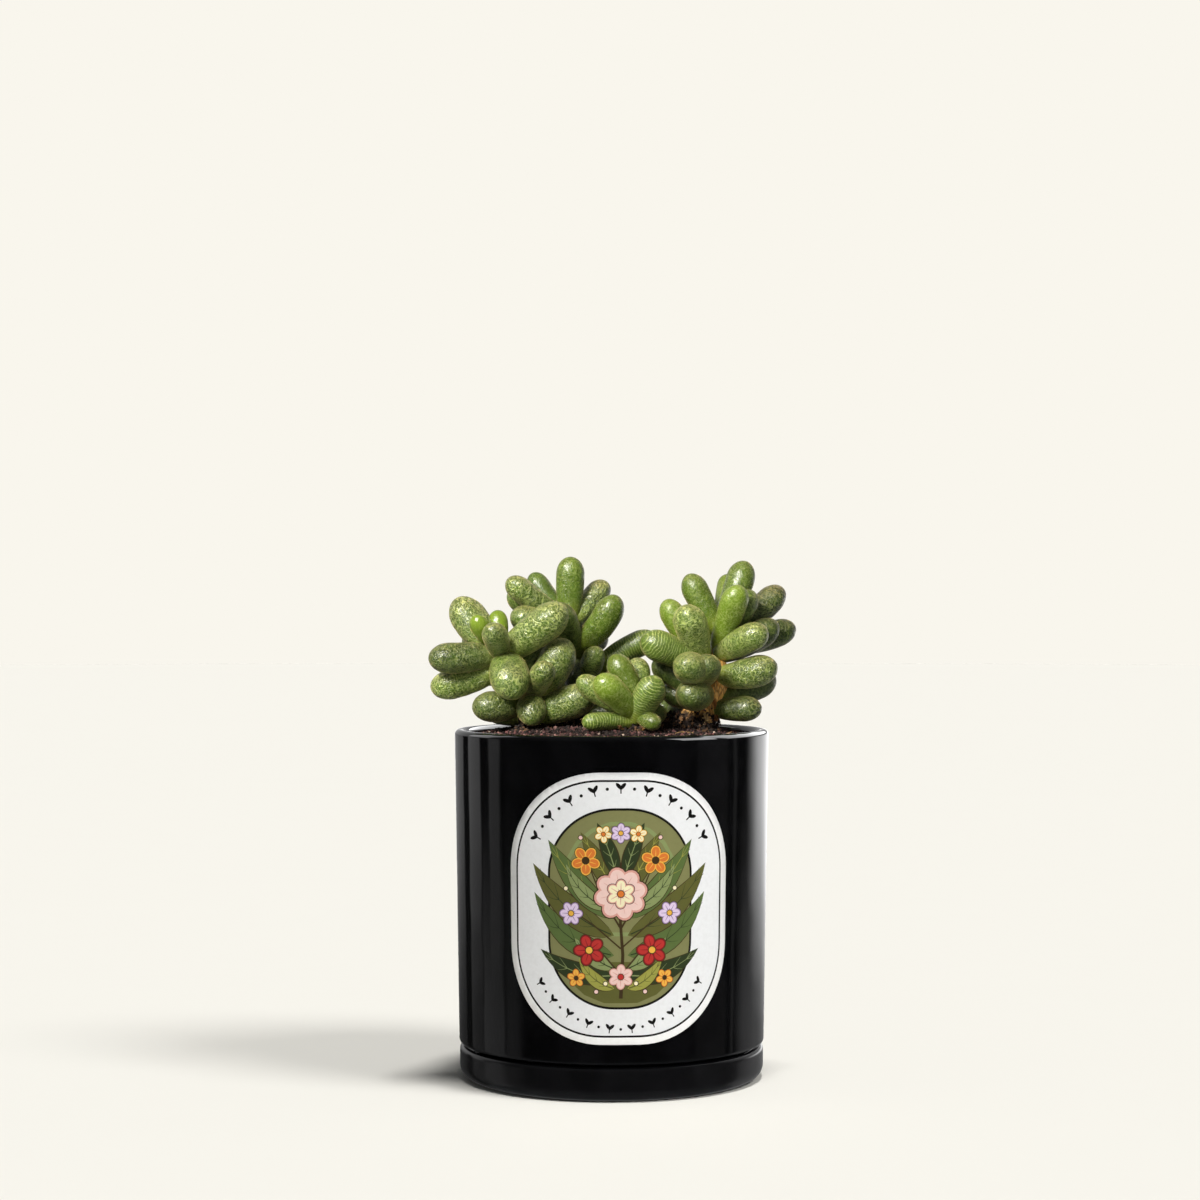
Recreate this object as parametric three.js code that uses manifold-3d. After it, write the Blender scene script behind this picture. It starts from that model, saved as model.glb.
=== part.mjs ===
// A potted sedum: a glazed round pot on its saucer, a paper label on the pot's front,
// soil, and five leafy stems. Millimetres, +Z up. The origin is the middle of the
// saucer's underside, and the label faces -Y.

import * as THREE from 'three';
import { mergeVertices } from 'three/addons/utils/BufferGeometryUtils.js';
import Module from 'manifold-3d';

const wasm = await Module();
wasm.setup();

// Round pieces
const ROUND_SEGMENTS = 48;
const SMALL_ARC_STEPS = 1;
const LARGE_ARC_STEPS = 2;
const REST_GAP = 0.2;
const WALL_GAP = 0.3;

// Saucer
const SAUCER_RADIUS = 48.3;
const SAUCER_HEIGHT = 10.5;
const SAUCER_CORNER = 4.3;
const SAUCER_WALL = 3;
const SAUCER_FLOOR = 3.2;
const SAUCER_INNER_CORNER = 2;

// Pot, on the saucer's floor
const POT_HEIGHT = 110.5;
const POT_RIM_RADIUS = 50;
const POT_SHOULDER_RADIUS = 48.5;
const POT_SHOULDER_HEIGHT = 11.1;
const POT_SHOULDER_ROUND = 1.4;
const POT_FOOT_RADIUS = 42;
const POT_FOOT_HEIGHT = SAUCER_FLOOR + REST_GAP;
const POT_WALL = 3.5;
const POT_LIP_ROUND = 1.5;
const POT_FLOOR_HEIGHT = 8;
const POT_INNER_BOTTOM_RADIUS = 38;
const POT_INNER_BEND_RADIUS = 43.8;
const POT_INNER_BEND_HEIGHT = 15;
const DRAIN_RADIUS = 5;

// Soil, heaped in the pot from just below its rim
const SOIL_EDGE_DEPTH = 3.2;
const SOIL_MOUND = 4.2;
const SOIL_RINGS = [1, 0.88, 0.7, 0.45, 0];

// Label, a thin sheet bent round the pot
const LABEL_WIDTH = 71;
const LABEL_HEIGHT = 82;
const LABEL_CORNER = 29.5;
const LABEL_MIDDLE = 58.7;
const LABEL_TURN_DEG = 3;
const LABEL_THICKNESS = 0.3;
const LABEL_GAP = 0.12;
const LABEL_ARC_STEPS = 3;

// Leafy stems
const STEM_SIDES = 8;
const STEM_GAP = 0.3;
const LEAF_SIDES = 8;
const LEAF_BODY_STATIONS = [0, 0.12, 0.45, 1];
const LEAF_END_STATIONS = [0.62, 0.92, 1];
const LEAF_NECK = 0.5;
const LEAF_RISE = 0.62;
const LEAF_FLATNESS = 0.92;
const LEAF_FACET_GROWTH = 1.02;

// The round end of a leaf is this many leaf widths long, up to a share of the leaf
const LEAF_END = 0.64;
const LEAF_END_MOST = 0.6;

// Each path runs from the foot in the soil to the crown: x, y, z and radius.
// Each leaf is the height of its root on the path, its tip's x, y and z, its width,
// and how far its middle hangs below the straight line from root to tip.
const STEMS = {
  stem_left_front: [
    {
      path: [
        [-26, -6, 96, 2.6],
        [-26.5, -6.5, 108, 2.6],
        [-28, -7.5, 117, 2.4],
        [-31, -9, 126, 2.1],
        [-35, -11, 134, 1.9],
        [-38, -12.5, 140, 1.5],
      ],
      leaves: [
        [134.5, -57, -20, 133.6, 10.7, 0.5],
        [131.5, -57.2, -10, 124.2, 10.5, 1.5],
        [136, -48.8, -6, 152.4, 12.4, 2],
        [138.5, -42.5, -20, 146.8, 6.4, 1.5],
        [135, -36.2, -7, 148.2, 6.4, -2],
        [130, -34, -8, 139.5, 7.5, 0],
        [133, -37, -27, 143.3, 8.1, 0],
        [134, -14.5, -18, 149.5, 12.2, 0.4],
        [131.5, -30.8, -25, 120.9, 12.8, -3],
        [118, -43.5, -15, 118, 10.5, 0],
        [135, -46, 6, 139.5, 9, 0.5],
        [134, -37, 7, 141, 9, 0.5],
        [128, -46.5, 8, 128, 9, 0],
        [124.5, -27, 8, 131, 9.5, 0.5],
        [115, -39, 8, 116, 9, 0],
        [115, -24, 6, 124, 9, 0.5],
        [129, -18, -2, 136.2, 8.6, 0],
      ],
    },
    {
      path: [
        [-26.5, -6.5, 108, 2],
        [-25.8, -8.5, 117, 2.2],
        [-24.2, -8.5, 124, 1.9],
      ],
      leaves: [
        [119, -25, -20, 112.4, 9.5, -2.5],
        [121, -20.4, -25, 131.3, 8, 0],
        [122, -14.3, -11, 139.4, 12.6, 2],
        [115, -5.5, -15, 122.5, 11.6, 0.5],
      ],
    },
  ],
  stem_left_back: [
    {
      path: [
        [-10, 10, 96, 2.6],
        [-9.5, 10, 110, 2.6],
        [-9, 10, 120, 2.3],
        [-9.5, 9, 130, 2],
        [-12, 7.5, 138, 1.8],
        [-14, 6, 145, 1.4],
      ],
      leaves: [
        [144, -13, 4, 165.5, 9.2, -0.5],
        [143.5, -1.4, 13, 157.3, 8.6, 0],
        [136.5, 1.3, -2, 153.2, 10.1, 3.6],
        [144.5, -33, -2, 158.4, 8.7, 1],
        [142, -26, 11, 160.1, 7.6, 0],
        [141, -33.3, 10, 154.2, 9.4, 0],
        [139.5, -31.5, -4, 147.5, 10.5, 0.5],
        [133, -17.3, -4, 150.4, 9.5, 1],
        [132, -1.7, 17, 139, 6.6, -1.5],
        [124, -4.6, -1, 136.4, 7.7, 0.5],
        [133.5, -11.5, 2, 122.5, 8.5, 1],
        [144, -13, 22, 153, 9, 0.5],
        [140.5, -2, 25, 145, 9.5, 1],
        [137.5, -25, 24, 143, 9.5, 0],
        [133, -13, 28, 134, 9.5, 0],
        [124, -22, 22, 124, 9, 0.5],
        [114.5, 4.5, 8, 117.3, 7.5, 0.5],
      ],
    },
    {
      path: [
        [-9, 10, 114, 1.8],
        [-6.5, 11, 122, 1.6],
        [-5, 12, 129, 1.3],
      ],
      leaves: [
        [128.5, 15, 9, 139.5, 9.2, -1.5],
        [127, 2, 24, 132.5, 9, 0],
        [118, -8, 26, 121, 9, -0.5],
      ],
    },
  ],
  stem_front: [
    {
      path: [
        [7, -24, 96, 2],
        [7, -24, 108, 2],
        [7, -23.5, 114, 1.8],
        [8, -23, 119.5, 1.3],
      ],
      leaves: [
        [119, 0, -24, 134.5, 9, -1],
        [116, -4.2, -35, 127.8, 9.4, 0],
        [117, -10.5, -27, 127.6, 8.3, 1],
        [114, 13.9, -31, 127.8, 9.6, 0],
        [113.5, -9, -31, 113.8, 6.2, -0.5],
        [117.5, 14.3, -32, 113.7, 5.9, 1],
        [119, 8.2, -14, 133.3, 7.9, 1],
        [118.5, 15, -11, 124, 8, 0.5],
        [115, 0, -10, 117.5, 7.5, 0.5],
        [114.5, 16, -12, 116.8, 7.5, 0.5],
      ],
    },
  ],
  stem_right: [
    {
      path: [
        [27, -3, 96, 7],
        [27, -3.5, 109.5, 8.2],
        [28.5, -4, 114.5, 5.6],
        [32.3, -5.5, 119.5, 3.7],
        [34.3, -5.5, 125, 2.8],
        [33.8, -5, 134, 2.2],
        [34, -3, 143, 1.6],
      ],
      leaves: [
        [141, 24.2, -4, 159.8, 9.3, 0.5],
        [142.5, 37.9, 13, 159.7, 6.4, 1.5],
        [142, 42.9, 3, 164.1, 9.6, 2.5],
        [136, 40, -17, 155.9, 8.7, 0],
        [138, 44.4, -7, 154.8, 8.4, 2],
        [142, 54.8, 6, 155.7, 9.6, 2.5],
        [134.5, 48, -18, 142.2, 10, 0],
        [134, 52.6, -7, 144.6, 10, 1],
        [138, 58.7, 4.5, 143.5, 9.6, 2],
        [127.5, 51.5, -15, 131.6, 10.8, 1.2],
        [119, 52.2, -1, 127.3, 10, 0.5],
        [117.5, 47.1, -12, 117.7, 8.7, 0.5],
        [141, 41, 15, 153, 9.5, 0],
        [140, 29, 15, 149, 9.5, 0.5],
        [136, 48, 13, 141, 10, 0.5],
        [132, 23, 13, 136, 10, 0.5],
        [128, 45, 13, 127, 10, 0.5],
        [124, 22, 12, 124, 9.5, 0.5],
        [119, 40, 12, 117, 9, 0.5],
        [117, 19, 9, 116, 8.5, 0.5],
      ],
    },
    {
      path: [
        [30, -4.5, 115, 2.2],
        [29, -7, 123, 2],
        [28.5, -8, 130, 1.8],
        [27, -8, 136, 1.4],
      ],
      leaves: [
        [135, 17, -10, 151.7, 8.7, 1],
        [132, 22.7, -21, 149, 10.6, -1.5],
        [132, 9.6, -17, 139.8, 10.8, 0.5],
        [127, 22.6, -28.5, 131.9, 10.9, 0],
        [121, 23.4, -24, 121.7, 11.2, -0.5],
        [126, 29.8, -25, 132.4, 9.4, 0],
        [119.5, 13, -5, 132, 9, -1],
        [117, 16, 0, 122, 9, -1.5],
      ],
    },
  ],
  stem_back: [
    {
      path: [
        [10, 25, 96, 2],
        [10, 26, 108, 2],
        [11, 28, 114, 1.8],
        [11, 29, 119, 1.3],
      ],
      leaves: [
        [118.5, 10, 33, 127.5, 6, 0],
        [118, 7.5, 25.5, 126.5, 6, 0],
        [117.5, 16, 27, 126.5, 6.5, 0],
        [117, 18, 38, 124, 8, 0.5],
        [116.5, 1, 34.5, 123.5, 8, 0.5],
        [115.5, 9, 15.5, 121, 8, 0.5],
        [114.5, 24, 29.5, 120.5, 8, 0.5],
        [114, 6, 42, 116.5, 8, 0],
        [114.3, -3, 25, 116.3, 8, 0],
        [114, 18.5, 14, 116.8, 8, 0],
        [113.5, 21, 37.5, 116.3, 7.5, 0],
      ],
    },
  ],
};

// Glaze, paper, soil and leaf
const glaze = { color: '#0c0c0f', roughness: 0.08, metalness: 0 };
const paper = { color: '#e4e4e1', roughness: 0.45, metalness: 0 };
const earth = { color: '#4b342b', roughness: 0.95, metalness: 0 };
const leafGreen = { color: '#5a6b33', roughness: 0.4, metalness: 0 };

const UP = new THREE.Vector3(0, 0, 1);
const FORWARD = new THREE.Vector3(0, -1, 0);
const STEEP = 0.94;
const MERGE_DISTANCE = 1e-4;

// Joining and cutting
function toSolid(geometry) {
  const bare = geometry.clone();
  bare.deleteAttribute('normal');
  bare.deleteAttribute('uv');
  const merged = mergeVertices(bare, MERGE_DISTANCE);
  const corners = merged.index.array;
  const triangles = [];
  for (let i = 0; i < corners.length; i += 3) {
    const [a, b, c] = corners.slice(i, i + 3);
    if (a !== b && b !== c && c !== a) triangles.push(a, b, c);
  }
  return new wasm.Manifold(new wasm.Mesh({
    numProp: 3,
    vertProperties: new Float32Array(merged.attributes.position.array),
    triVerts: new Uint32Array(triangles),
  }));
}

function toGeometry(solid) {
  const mesh = solid.getMesh();
  const geometry = new THREE.BufferGeometry();
  geometry.setAttribute('position', new THREE.BufferAttribute(mesh.vertProperties, 3));
  geometry.setIndex(new THREE.BufferAttribute(mesh.triVerts, 1));
  return geometry;
}

function piece(name, solid, look) {
  const mesh = new THREE.Mesh(toGeometry(solid), new THREE.MeshStandardMaterial(look));
  mesh.name = name;
  return mesh;
}

// A body turned about Z from points of radius and height
function turned(points) {
  const geometry = new THREE.LatheGeometry(points, ROUND_SEGMENTS);
  geometry.rotateX(Math.PI / 2);
  return toSolid(geometry);
}

// A closed body that follows a curve, as wide at each station as halfWidth says
function limb(curve, stations, halfWidth, sides, flatness = 1) {
  const outline = stations.map((t) => new THREE.Vector2(halfWidth(t), t));
  outline.unshift(new THREE.Vector2(0, stations[0]));
  outline.push(new THREE.Vector2(0, stations.at(-1)));
  const geometry = new THREE.LatheGeometry(outline, sides);
  const span = curve.getPoint(1).sub(curve.getPoint(0)).normalize();
  const reference = Math.abs(span.z) < STEEP ? UP : FORWARD;
  const position = geometry.attributes.position;
  for (let i = 0; i < position.count; i += 1) {
    const local = new THREE.Vector3().fromBufferAttribute(position, i);
    const tangent = curve.getTangent(local.y);
    const side = tangent.clone().cross(reference).normalize();
    const top = side.clone().cross(tangent);
    const bent = curve.getPoint(local.y);
    bent.addScaledVector(side, local.x);
    bent.addScaledVector(top, local.z * flatness);
    position.setXYZ(i, bent.x, bent.y, bent.z);
  }
  return toSolid(geometry);
}

function saucerSolid() {
  const inner = SAUCER_RADIUS - SAUCER_WALL;
  const lip = SAUCER_WALL / 2;
  const profile = new THREE.Path();
  profile.moveTo(0, 0);
  profile.lineTo(SAUCER_RADIUS - SAUCER_CORNER, 0);
  profile.absarc(SAUCER_RADIUS - SAUCER_CORNER, SAUCER_CORNER, SAUCER_CORNER, -Math.PI / 2, 0);
  profile.absarc(SAUCER_RADIUS - lip, SAUCER_HEIGHT - lip, lip, 0, Math.PI);
  profile.lineTo(inner, SAUCER_FLOOR + SAUCER_INNER_CORNER);
  profile.lineTo(inner - SAUCER_INNER_CORNER, SAUCER_FLOOR);
  profile.lineTo(0, SAUCER_FLOOR);
  return turned(profile.getPoints(LARGE_ARC_STEPS));
}

// The pot's outer wall widens evenly from its shoulder to its lip
const wallFoot = POT_SHOULDER_HEIGHT + POT_SHOULDER_ROUND;
const wallTop = POT_HEIGHT - POT_LIP_ROUND;

function wallRadius(height) {
  return THREE.MathUtils.mapLinear(height, wallFoot, wallTop, POT_SHOULDER_RADIUS, POT_RIM_RADIUS);
}

function innerRadius(height) {
  const innerTop = POT_RIM_RADIUS - POT_WALL;
  return THREE.MathUtils.mapLinear(
    height, POT_INNER_BEND_HEIGHT, wallTop, POT_INNER_BEND_RADIUS, innerTop);
}

function potSolid() {
  const bend = POT_SHOULDER_RADIUS - POT_SHOULDER_ROUND;
  const innerTop = POT_RIM_RADIUS - POT_WALL;
  const lip = POT_LIP_ROUND;
  const profile = new THREE.Path();
  profile.moveTo(DRAIN_RADIUS, POT_FOOT_HEIGHT);
  profile.lineTo(POT_FOOT_RADIUS, POT_FOOT_HEIGHT);
  profile.lineTo(POT_FOOT_RADIUS, POT_SHOULDER_HEIGHT);
  profile.absarc(bend, wallFoot, POT_SHOULDER_ROUND, -Math.PI / 2, 0);
  profile.absarc(POT_RIM_RADIUS - lip, wallTop, lip, 0, Math.PI / 2);
  profile.absarc(innerTop + lip, wallTop, lip, Math.PI / 2, Math.PI);
  profile.lineTo(POT_INNER_BEND_RADIUS, POT_INNER_BEND_HEIGHT);
  profile.lineTo(POT_INNER_BOTTOM_RADIUS, POT_FLOOR_HEIGHT);
  profile.lineTo(DRAIN_RADIUS, POT_FLOOR_HEIGHT);
  profile.closePath();
  return turned(profile.getPoints(SMALL_ARC_STEPS));
}

function soilSolid(stems) {
  const edgeHeight = POT_HEIGHT - SOIL_EDGE_DEPTH;
  const edgeRadius = innerRadius(edgeHeight) - WALL_GAP;
  const points = [
    new THREE.Vector2(0, POT_FLOOR_HEIGHT + WALL_GAP),
    new THREE.Vector2(POT_INNER_BOTTOM_RADIUS - WALL_GAP, POT_FLOOR_HEIGHT + WALL_GAP),
    new THREE.Vector2(POT_INNER_BEND_RADIUS - WALL_GAP, POT_INNER_BEND_HEIGHT),
  ];
  for (const outward of SOIL_RINGS) {
    const height = edgeHeight + SOIL_MOUND * (1 - outward ** 4);
    points.push(new THREE.Vector2(edgeRadius * outward, height));
  }
  let soil = turned(points);
  for (const branches of Object.values(STEMS)) {
    soil = soil.subtract(stemSolid(branches[0].path, STEM_GAP));
  }
  return soil;
}

// The sheet between two cones round the pot, cut to a rounded rectangle from the front
function labelSolid() {
  const low = LABEL_MIDDLE - LABEL_HEIGHT / 2 - 1;
  const high = LABEL_MIDDLE + LABEL_HEIGHT / 2 + 1;
  const corner = (height, out) => new THREE.Vector2(wallRadius(height) + LABEL_GAP + out, height);
  const sheet = turned([
    corner(low, 0),
    corner(low, LABEL_THICKNESS),
    corner(high, LABEL_THICKNESS),
    corner(high, 0),
    corner(low, 0),
  ]);
  const outline = roundedRectangle(LABEL_WIDTH, LABEL_HEIGHT, LABEL_CORNER).getPoints(LABEL_ARC_STEPS);
  const radius = wallRadius(LABEL_MIDDLE);
  const seenFromFront = outline.map((p) => new THREE.Vector2(radius * Math.sin(p.x / radius), p.y));
  const cutter = new THREE.ExtrudeGeometry(new THREE.Shape(seenFromFront), {
    depth: POT_RIM_RADIUS + 10,
    bevelEnabled: false,
  });
  cutter.rotateX(Math.PI / 2);
  cutter.rotateZ(THREE.MathUtils.degToRad(LABEL_TURN_DEG));
  cutter.translate(0, 0, LABEL_MIDDLE);
  return sheet.intersect(toSolid(cutter));
}

function roundedRectangle(width, height, corner) {
  const x = width / 2 - corner;
  const y = height / 2 - corner;
  const shape = new THREE.Shape();
  shape.absarc(x, -y, corner, -Math.PI / 2, 0);
  shape.absarc(x, y, corner, 0, Math.PI / 2);
  shape.absarc(-x, y, corner, Math.PI / 2, Math.PI);
  shape.absarc(-x, -y, corner, Math.PI, Math.PI * 1.5);
  return shape;
}

function stemCurve(path) {
  const points = path.map(([x, y, z]) => new THREE.Vector3(x, y, z));
  return new THREE.CatmullRomCurve3(points, false, 'catmullrom', 0.5);
}

// One bare stem, grown on all sides by the clearance of the hole that it stands in
function stemSolid(path, clearance = 0) {
  const grown = path.map(([x, y, z, radius]) => [x, y, z, radius + clearance]);
  grown[0][2] -= clearance;
  const last = grown.length - 1;
  const radiusAt = (t) => {
    const below = Math.min(Math.floor(t * last), last - 1);
    return THREE.MathUtils.lerp(grown[below][3], grown[below + 1][3], t * last - below);
  };
  const stations = Array.from({ length: 2 * last + 1 }, (_, i) => i / (2 * last));
  return limb(stemCurve(grown), stations, radiusAt, STEM_SIDES);
}

// A leaf is slim at its root, fullest where its round end begins, and closed at both ends
function leafGirth(t, endStart) {
  if (t === 0 || t === 1) return 0;
  if (t < endStart) {
    const rise = Math.sin((Math.PI / 2) * (t / endStart)) ** LEAF_RISE;
    return LEAF_NECK + (1 - LEAF_NECK) * rise;
  }
  const past = (t - endStart) / (1 - endStart);
  return Math.sqrt(1 - past * past);
}

function leafCurve(root, tip, sag) {
  const along = tip.clone().sub(root).normalize();
  const acrossUp = UP.clone().addScaledVector(along, -along.z);
  const middle = root.clone().add(tip).multiplyScalar(0.5).addScaledVector(acrossUp, -2 * sag);
  return new THREE.QuadraticBezierCurve3(root, middle, tip);
}

function pointAtHeight(curve, height) {
  const points = curve.getPoints(200);
  return points.find((point) => point.z >= height);
}

function leafSolid(stem, [rootHeight, x, y, z, width, sag]) {
  const root = pointAtHeight(stem, rootHeight);
  const tip = new THREE.Vector3(x, y, z);
  const end = Math.min((LEAF_END * width) / root.distanceTo(tip), LEAF_END_MOST);
  const stations = [
    ...LEAF_BODY_STATIONS.map((share) => share * (1 - end)),
    ...LEAF_END_STATIONS.map((share) => 1 - end + share * end),
  ];
  const halfWidth = (t) => (leafGirth(t, 1 - end) * width * LEAF_FACET_GROWTH) / 2;
  return limb(leafCurve(root, tip, sag), stations, halfWidth, LEAF_SIDES, LEAF_FLATNESS);
}

// Leaves that touch can seal a small hollow between them: the outer skin alone is the
// body with that hollow filled.
function filled(solid) {
  const skins = solid.decompose();
  return skins.reduce((outer, skin) => (skin.volume() > outer.volume() ? skin : outer));
}

function leafyStemSolid(branches) {
  const parts = branches.flatMap(({ path, leaves }) => {
    const curve = stemCurve(path);
    return [stemSolid(path), ...leaves.map((leaf) => leafSolid(curve, leaf))];
  });
  return filled(parts.reduce((whole, part) => whole.add(part)));
}

const plant = new THREE.Group();
plant.add(piece('saucer', saucerSolid(), glaze));
plant.add(piece('pot', potSolid(), glaze));
plant.add(piece('label', labelSolid(), paper));
plant.add(piece('soil', soilSolid(), earth));
for (const [name, branches] of Object.entries(STEMS)) {
  plant.add(piece(name, leafyStemSolid(branches), leafGreen));
}

export default plant;
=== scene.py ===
import math
from itertools import combinations

import bpy
import numpy as np
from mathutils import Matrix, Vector, geometry, noise


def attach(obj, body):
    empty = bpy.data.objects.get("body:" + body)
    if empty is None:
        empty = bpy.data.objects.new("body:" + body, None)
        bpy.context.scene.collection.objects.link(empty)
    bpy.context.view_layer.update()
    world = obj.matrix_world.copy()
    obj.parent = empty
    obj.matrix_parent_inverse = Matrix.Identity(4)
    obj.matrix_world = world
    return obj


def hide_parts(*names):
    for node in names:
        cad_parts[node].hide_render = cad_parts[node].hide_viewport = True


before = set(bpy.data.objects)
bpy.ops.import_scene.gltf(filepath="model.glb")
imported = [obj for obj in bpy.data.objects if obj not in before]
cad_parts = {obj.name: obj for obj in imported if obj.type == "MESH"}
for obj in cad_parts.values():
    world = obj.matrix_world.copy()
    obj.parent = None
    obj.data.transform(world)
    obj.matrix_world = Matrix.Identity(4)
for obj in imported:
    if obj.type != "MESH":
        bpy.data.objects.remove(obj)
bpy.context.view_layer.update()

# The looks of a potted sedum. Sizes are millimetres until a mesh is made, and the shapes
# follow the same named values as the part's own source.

MM = 0.001
SEED = 5309
ROUND_SEGMENTS = 256

# Saucer and pot
SAUCER_RADIUS = 48.3
SAUCER_HEIGHT = 10.5
SAUCER_WALL = 3
SAUCER_FLOOR = 3.2
SAUCER_FOOT_ROUND = 4.3
SAUCER_LIP_ROUND = 1.45
SAUCER_INNER_ROUND = 2
SAUCER_CENTRE = 1
SAUCER_CENTRE_ROUND = 0.05
POT_HEIGHT = 110.5
POT_RIM_RADIUS = 50
POT_SHOULDER_RADIUS = 48.5
POT_SHOULDER_HEIGHT = 11.1
POT_SHOULDER_ROUND = 1.4
POT_FOOT_RADIUS = 42
POT_FOOT_HEIGHT = 3.4
POT_WALL = 3.5
POT_LIP_ROUND = 1.5
POT_FLOOR_HEIGHT = 8
POT_INNER_BOTTOM_RADIUS = 38
POT_INNER_BEND_RADIUS = 43.8
POT_INNER_BEND_HEIGHT = 15
POT_INNER_BEND_ROUND = 5
POT_BOTTOM_ROUND = 3
POT_FOOT_ROUND = 0.8
POT_STEP_ROUND = 0.5
DRAIN_RADIUS = 5
DRAIN_ROUND = 0.3
WALL_GAP = 0.3
WALL_FOOT = POT_SHOULDER_HEIGHT + POT_SHOULDER_ROUND
WALL_TOP = POT_HEIGHT - POT_LIP_ROUND

# Soil
SOIL_EDGE_DEPTH = 3.2
SOIL_MOUND = 4.2
SOIL_SINK = 0.35
SOIL_SIDES = 144
SOIL_RINGS = 44
SOIL_EDGE_HEIGHT = POT_HEIGHT - SOIL_EDGE_DEPTH

# Label
LABEL_WIDTH = 71
LABEL_HEIGHT = 82
LABEL_CORNER = 29.5
LABEL_MIDDLE = 58.7
LABEL_TURN = math.radians(3)
LABEL_THICKNESS = 0.3
LABEL_GAP = 0.12
FOLD_SPACING = 1.0
FOLD_REACH = 0.9999
MERGE_REACH = 1e-5
BORDER_LINE_START = 2.2
BORDER_LINE_END = 2.8
PANEL_WIDTH = 43.2
PANEL_HEIGHT = 59.2
PANEL_CORNER = 19.6
PANEL_LINE = 0.7
SPRIG_RADIUS = 26.8
SPRIG_SPREAD = 1.08

# Leaves
LEAF_NECK = 0.5
LEAF_RISE = 0.62
LEAF_END = 0.64
LEAF_END_MOST = 0.6
LEAF_FLATNESS = 0.92
LEAF_SIDES = 44
LEAF_BODY_ROWS = 21
LEAF_END_ROWS = 21
LEAF_LAST_ROW = 0.9995
LEAF_CHANCE = 0.06
STEEP = 0.94

# Swells of a leaf: share of its width, reach and step of the seed
LEAF_SWELLS = ((0.022, 7.5, 0), (0.008, 2.6, 3))

# Stems and twigs: points round and along them
STEM_SIDES = 40
STEM_STEPS = 16
STEM_SEED = 20
ROOT_STEPS = 40
TWIG_SIDES = 10
TWIG_STEPS = 10

# How a leaf looks: youth, tan, rings, net and light, where light is painted light and shade that
# makes the whole leaf lighter above 0 and darker below 0
LOOKS = {
    "plain": (0.1, 0.15, 0.15, 0.6, -0.15),
    "netted": (0.1, 0.35, 0.0, 1.0, -0.05),
    "pale": (0.2, 0.35, 0.15, 1.0, 0.15),
    "tanned": (0.05, 0.8, 0.0, 0.9, -0.05),
    "dull": (0.05, 0.45, 0.1, 0.75, 0.0),
    "netted_painted_shade": (0.05, 0.3, 0.1, 0.9, -0.36),
    "dull_painted_shade": (0.0, 0.4, 0.15, 0.75, -0.3),
    "tanned_painted_shade": (0.0, 0.8, 0.05, 0.8, -0.42),
    "dark": (0.0, 0.3, 0.15, 0.6, -0.48),
    "smooth": (0.25, 0.3, 0.1, 0.4, 0.0),
    "smooth_painted_shade": (0.1, 0.1, 0.1, 0.3, -0.18),
    "fresh": (0.6, 0.25, 0.0, 0.4, 0.0),
    "fresh_painted_light": (0.6, 0.2, 0.0, 0.4, 0.3),
    "leafy": (0.6, 0.2, 0.0, 0.4, -0.2),
    "young": (1.0, 0.05, 0.0, 0.12, 0.1),
    "ringed": (0.15, 0.2, 1.0, 1.0, 0.2),
}

STEMS = {}


def branch(stem, path, leaves):
    """Adds a branch, whose path runs from the foot in the soil to the crown: x, y, z, radius.

    A leaf is the height of its root on the path, its tip's x, y and z, its width, how far
    its middle hangs, and its look."""
    STEMS.setdefault(stem, []).append((path, leaves))


branch("stem_left_front", [
    (-26, -6, 96, 2.6), (-26.5, -6.5, 108, 2.6), (-28, -7.5, 117, 2.4), (-31, -9, 126, 2.1),
    (-35, -11, 134, 1.9), (-38, -12.5, 140, 1.5),
], [
    (134.5, -57, -20, 133.6, 10.7, 0.5, "netted_painted_shade"),
    (131.5, -57.2, -10, 124.2, 10.5, 1.5, "pale"),
    (136, -48.8, -6, 152.4, 12.4, 2, "netted"),
    (138.5, -42.5, -20, 146.8, 6.4, 1.5, "young"),
    (135, -36.2, -7, 148.2, 6.4, -2, "young"),
    (130, -34, -8, 139.5, 7.5, 0, "netted"),
    (133, -37, -27, 143.3, 8.1, 0, "dull"),
    (134, -14.5, -18, 149.5, 12.2, 0.4, "netted"),
    (131.5, -30.8, -25, 120.9, 12.8, -3, "dull"),
    (118, -43.5, -15, 118, 10.5, 0, "netted_painted_shade"),
    (135, -46, 6, 139.5, 9, 0.5, "plain"),
    (134, -37, 7, 141, 9, 0.5, "plain"),
    (128, -46.5, 8, 128, 9, 0, "netted"),
    (124.5, -27, 8, 131, 9.5, 0.5, "plain"),
    (115, -39, 8, 116, 9, 0, "netted"),
    (115, -24, 6, 124, 9, 0.5, "plain"),
    (129, -18, -2, 136.2, 8.6, 0, "plain"),
])
branch("stem_left_front", [
    (-26.5, -6.5, 108, 2), (-25.8, -8.5, 117, 2.2), (-24.2, -8.5, 124, 1.9),
], [
    (119, -25, -20, 112.4, 9.5, -2.5, "netted_painted_shade"),
    (121, -20.4, -25, 131.3, 8, 0, "netted"),
    (122, -14.3, -11, 139.4, 12.6, 2, "netted"),
    (115, -5.5, -15, 122.5, 11.6, 0.5, "netted"),
])
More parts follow.
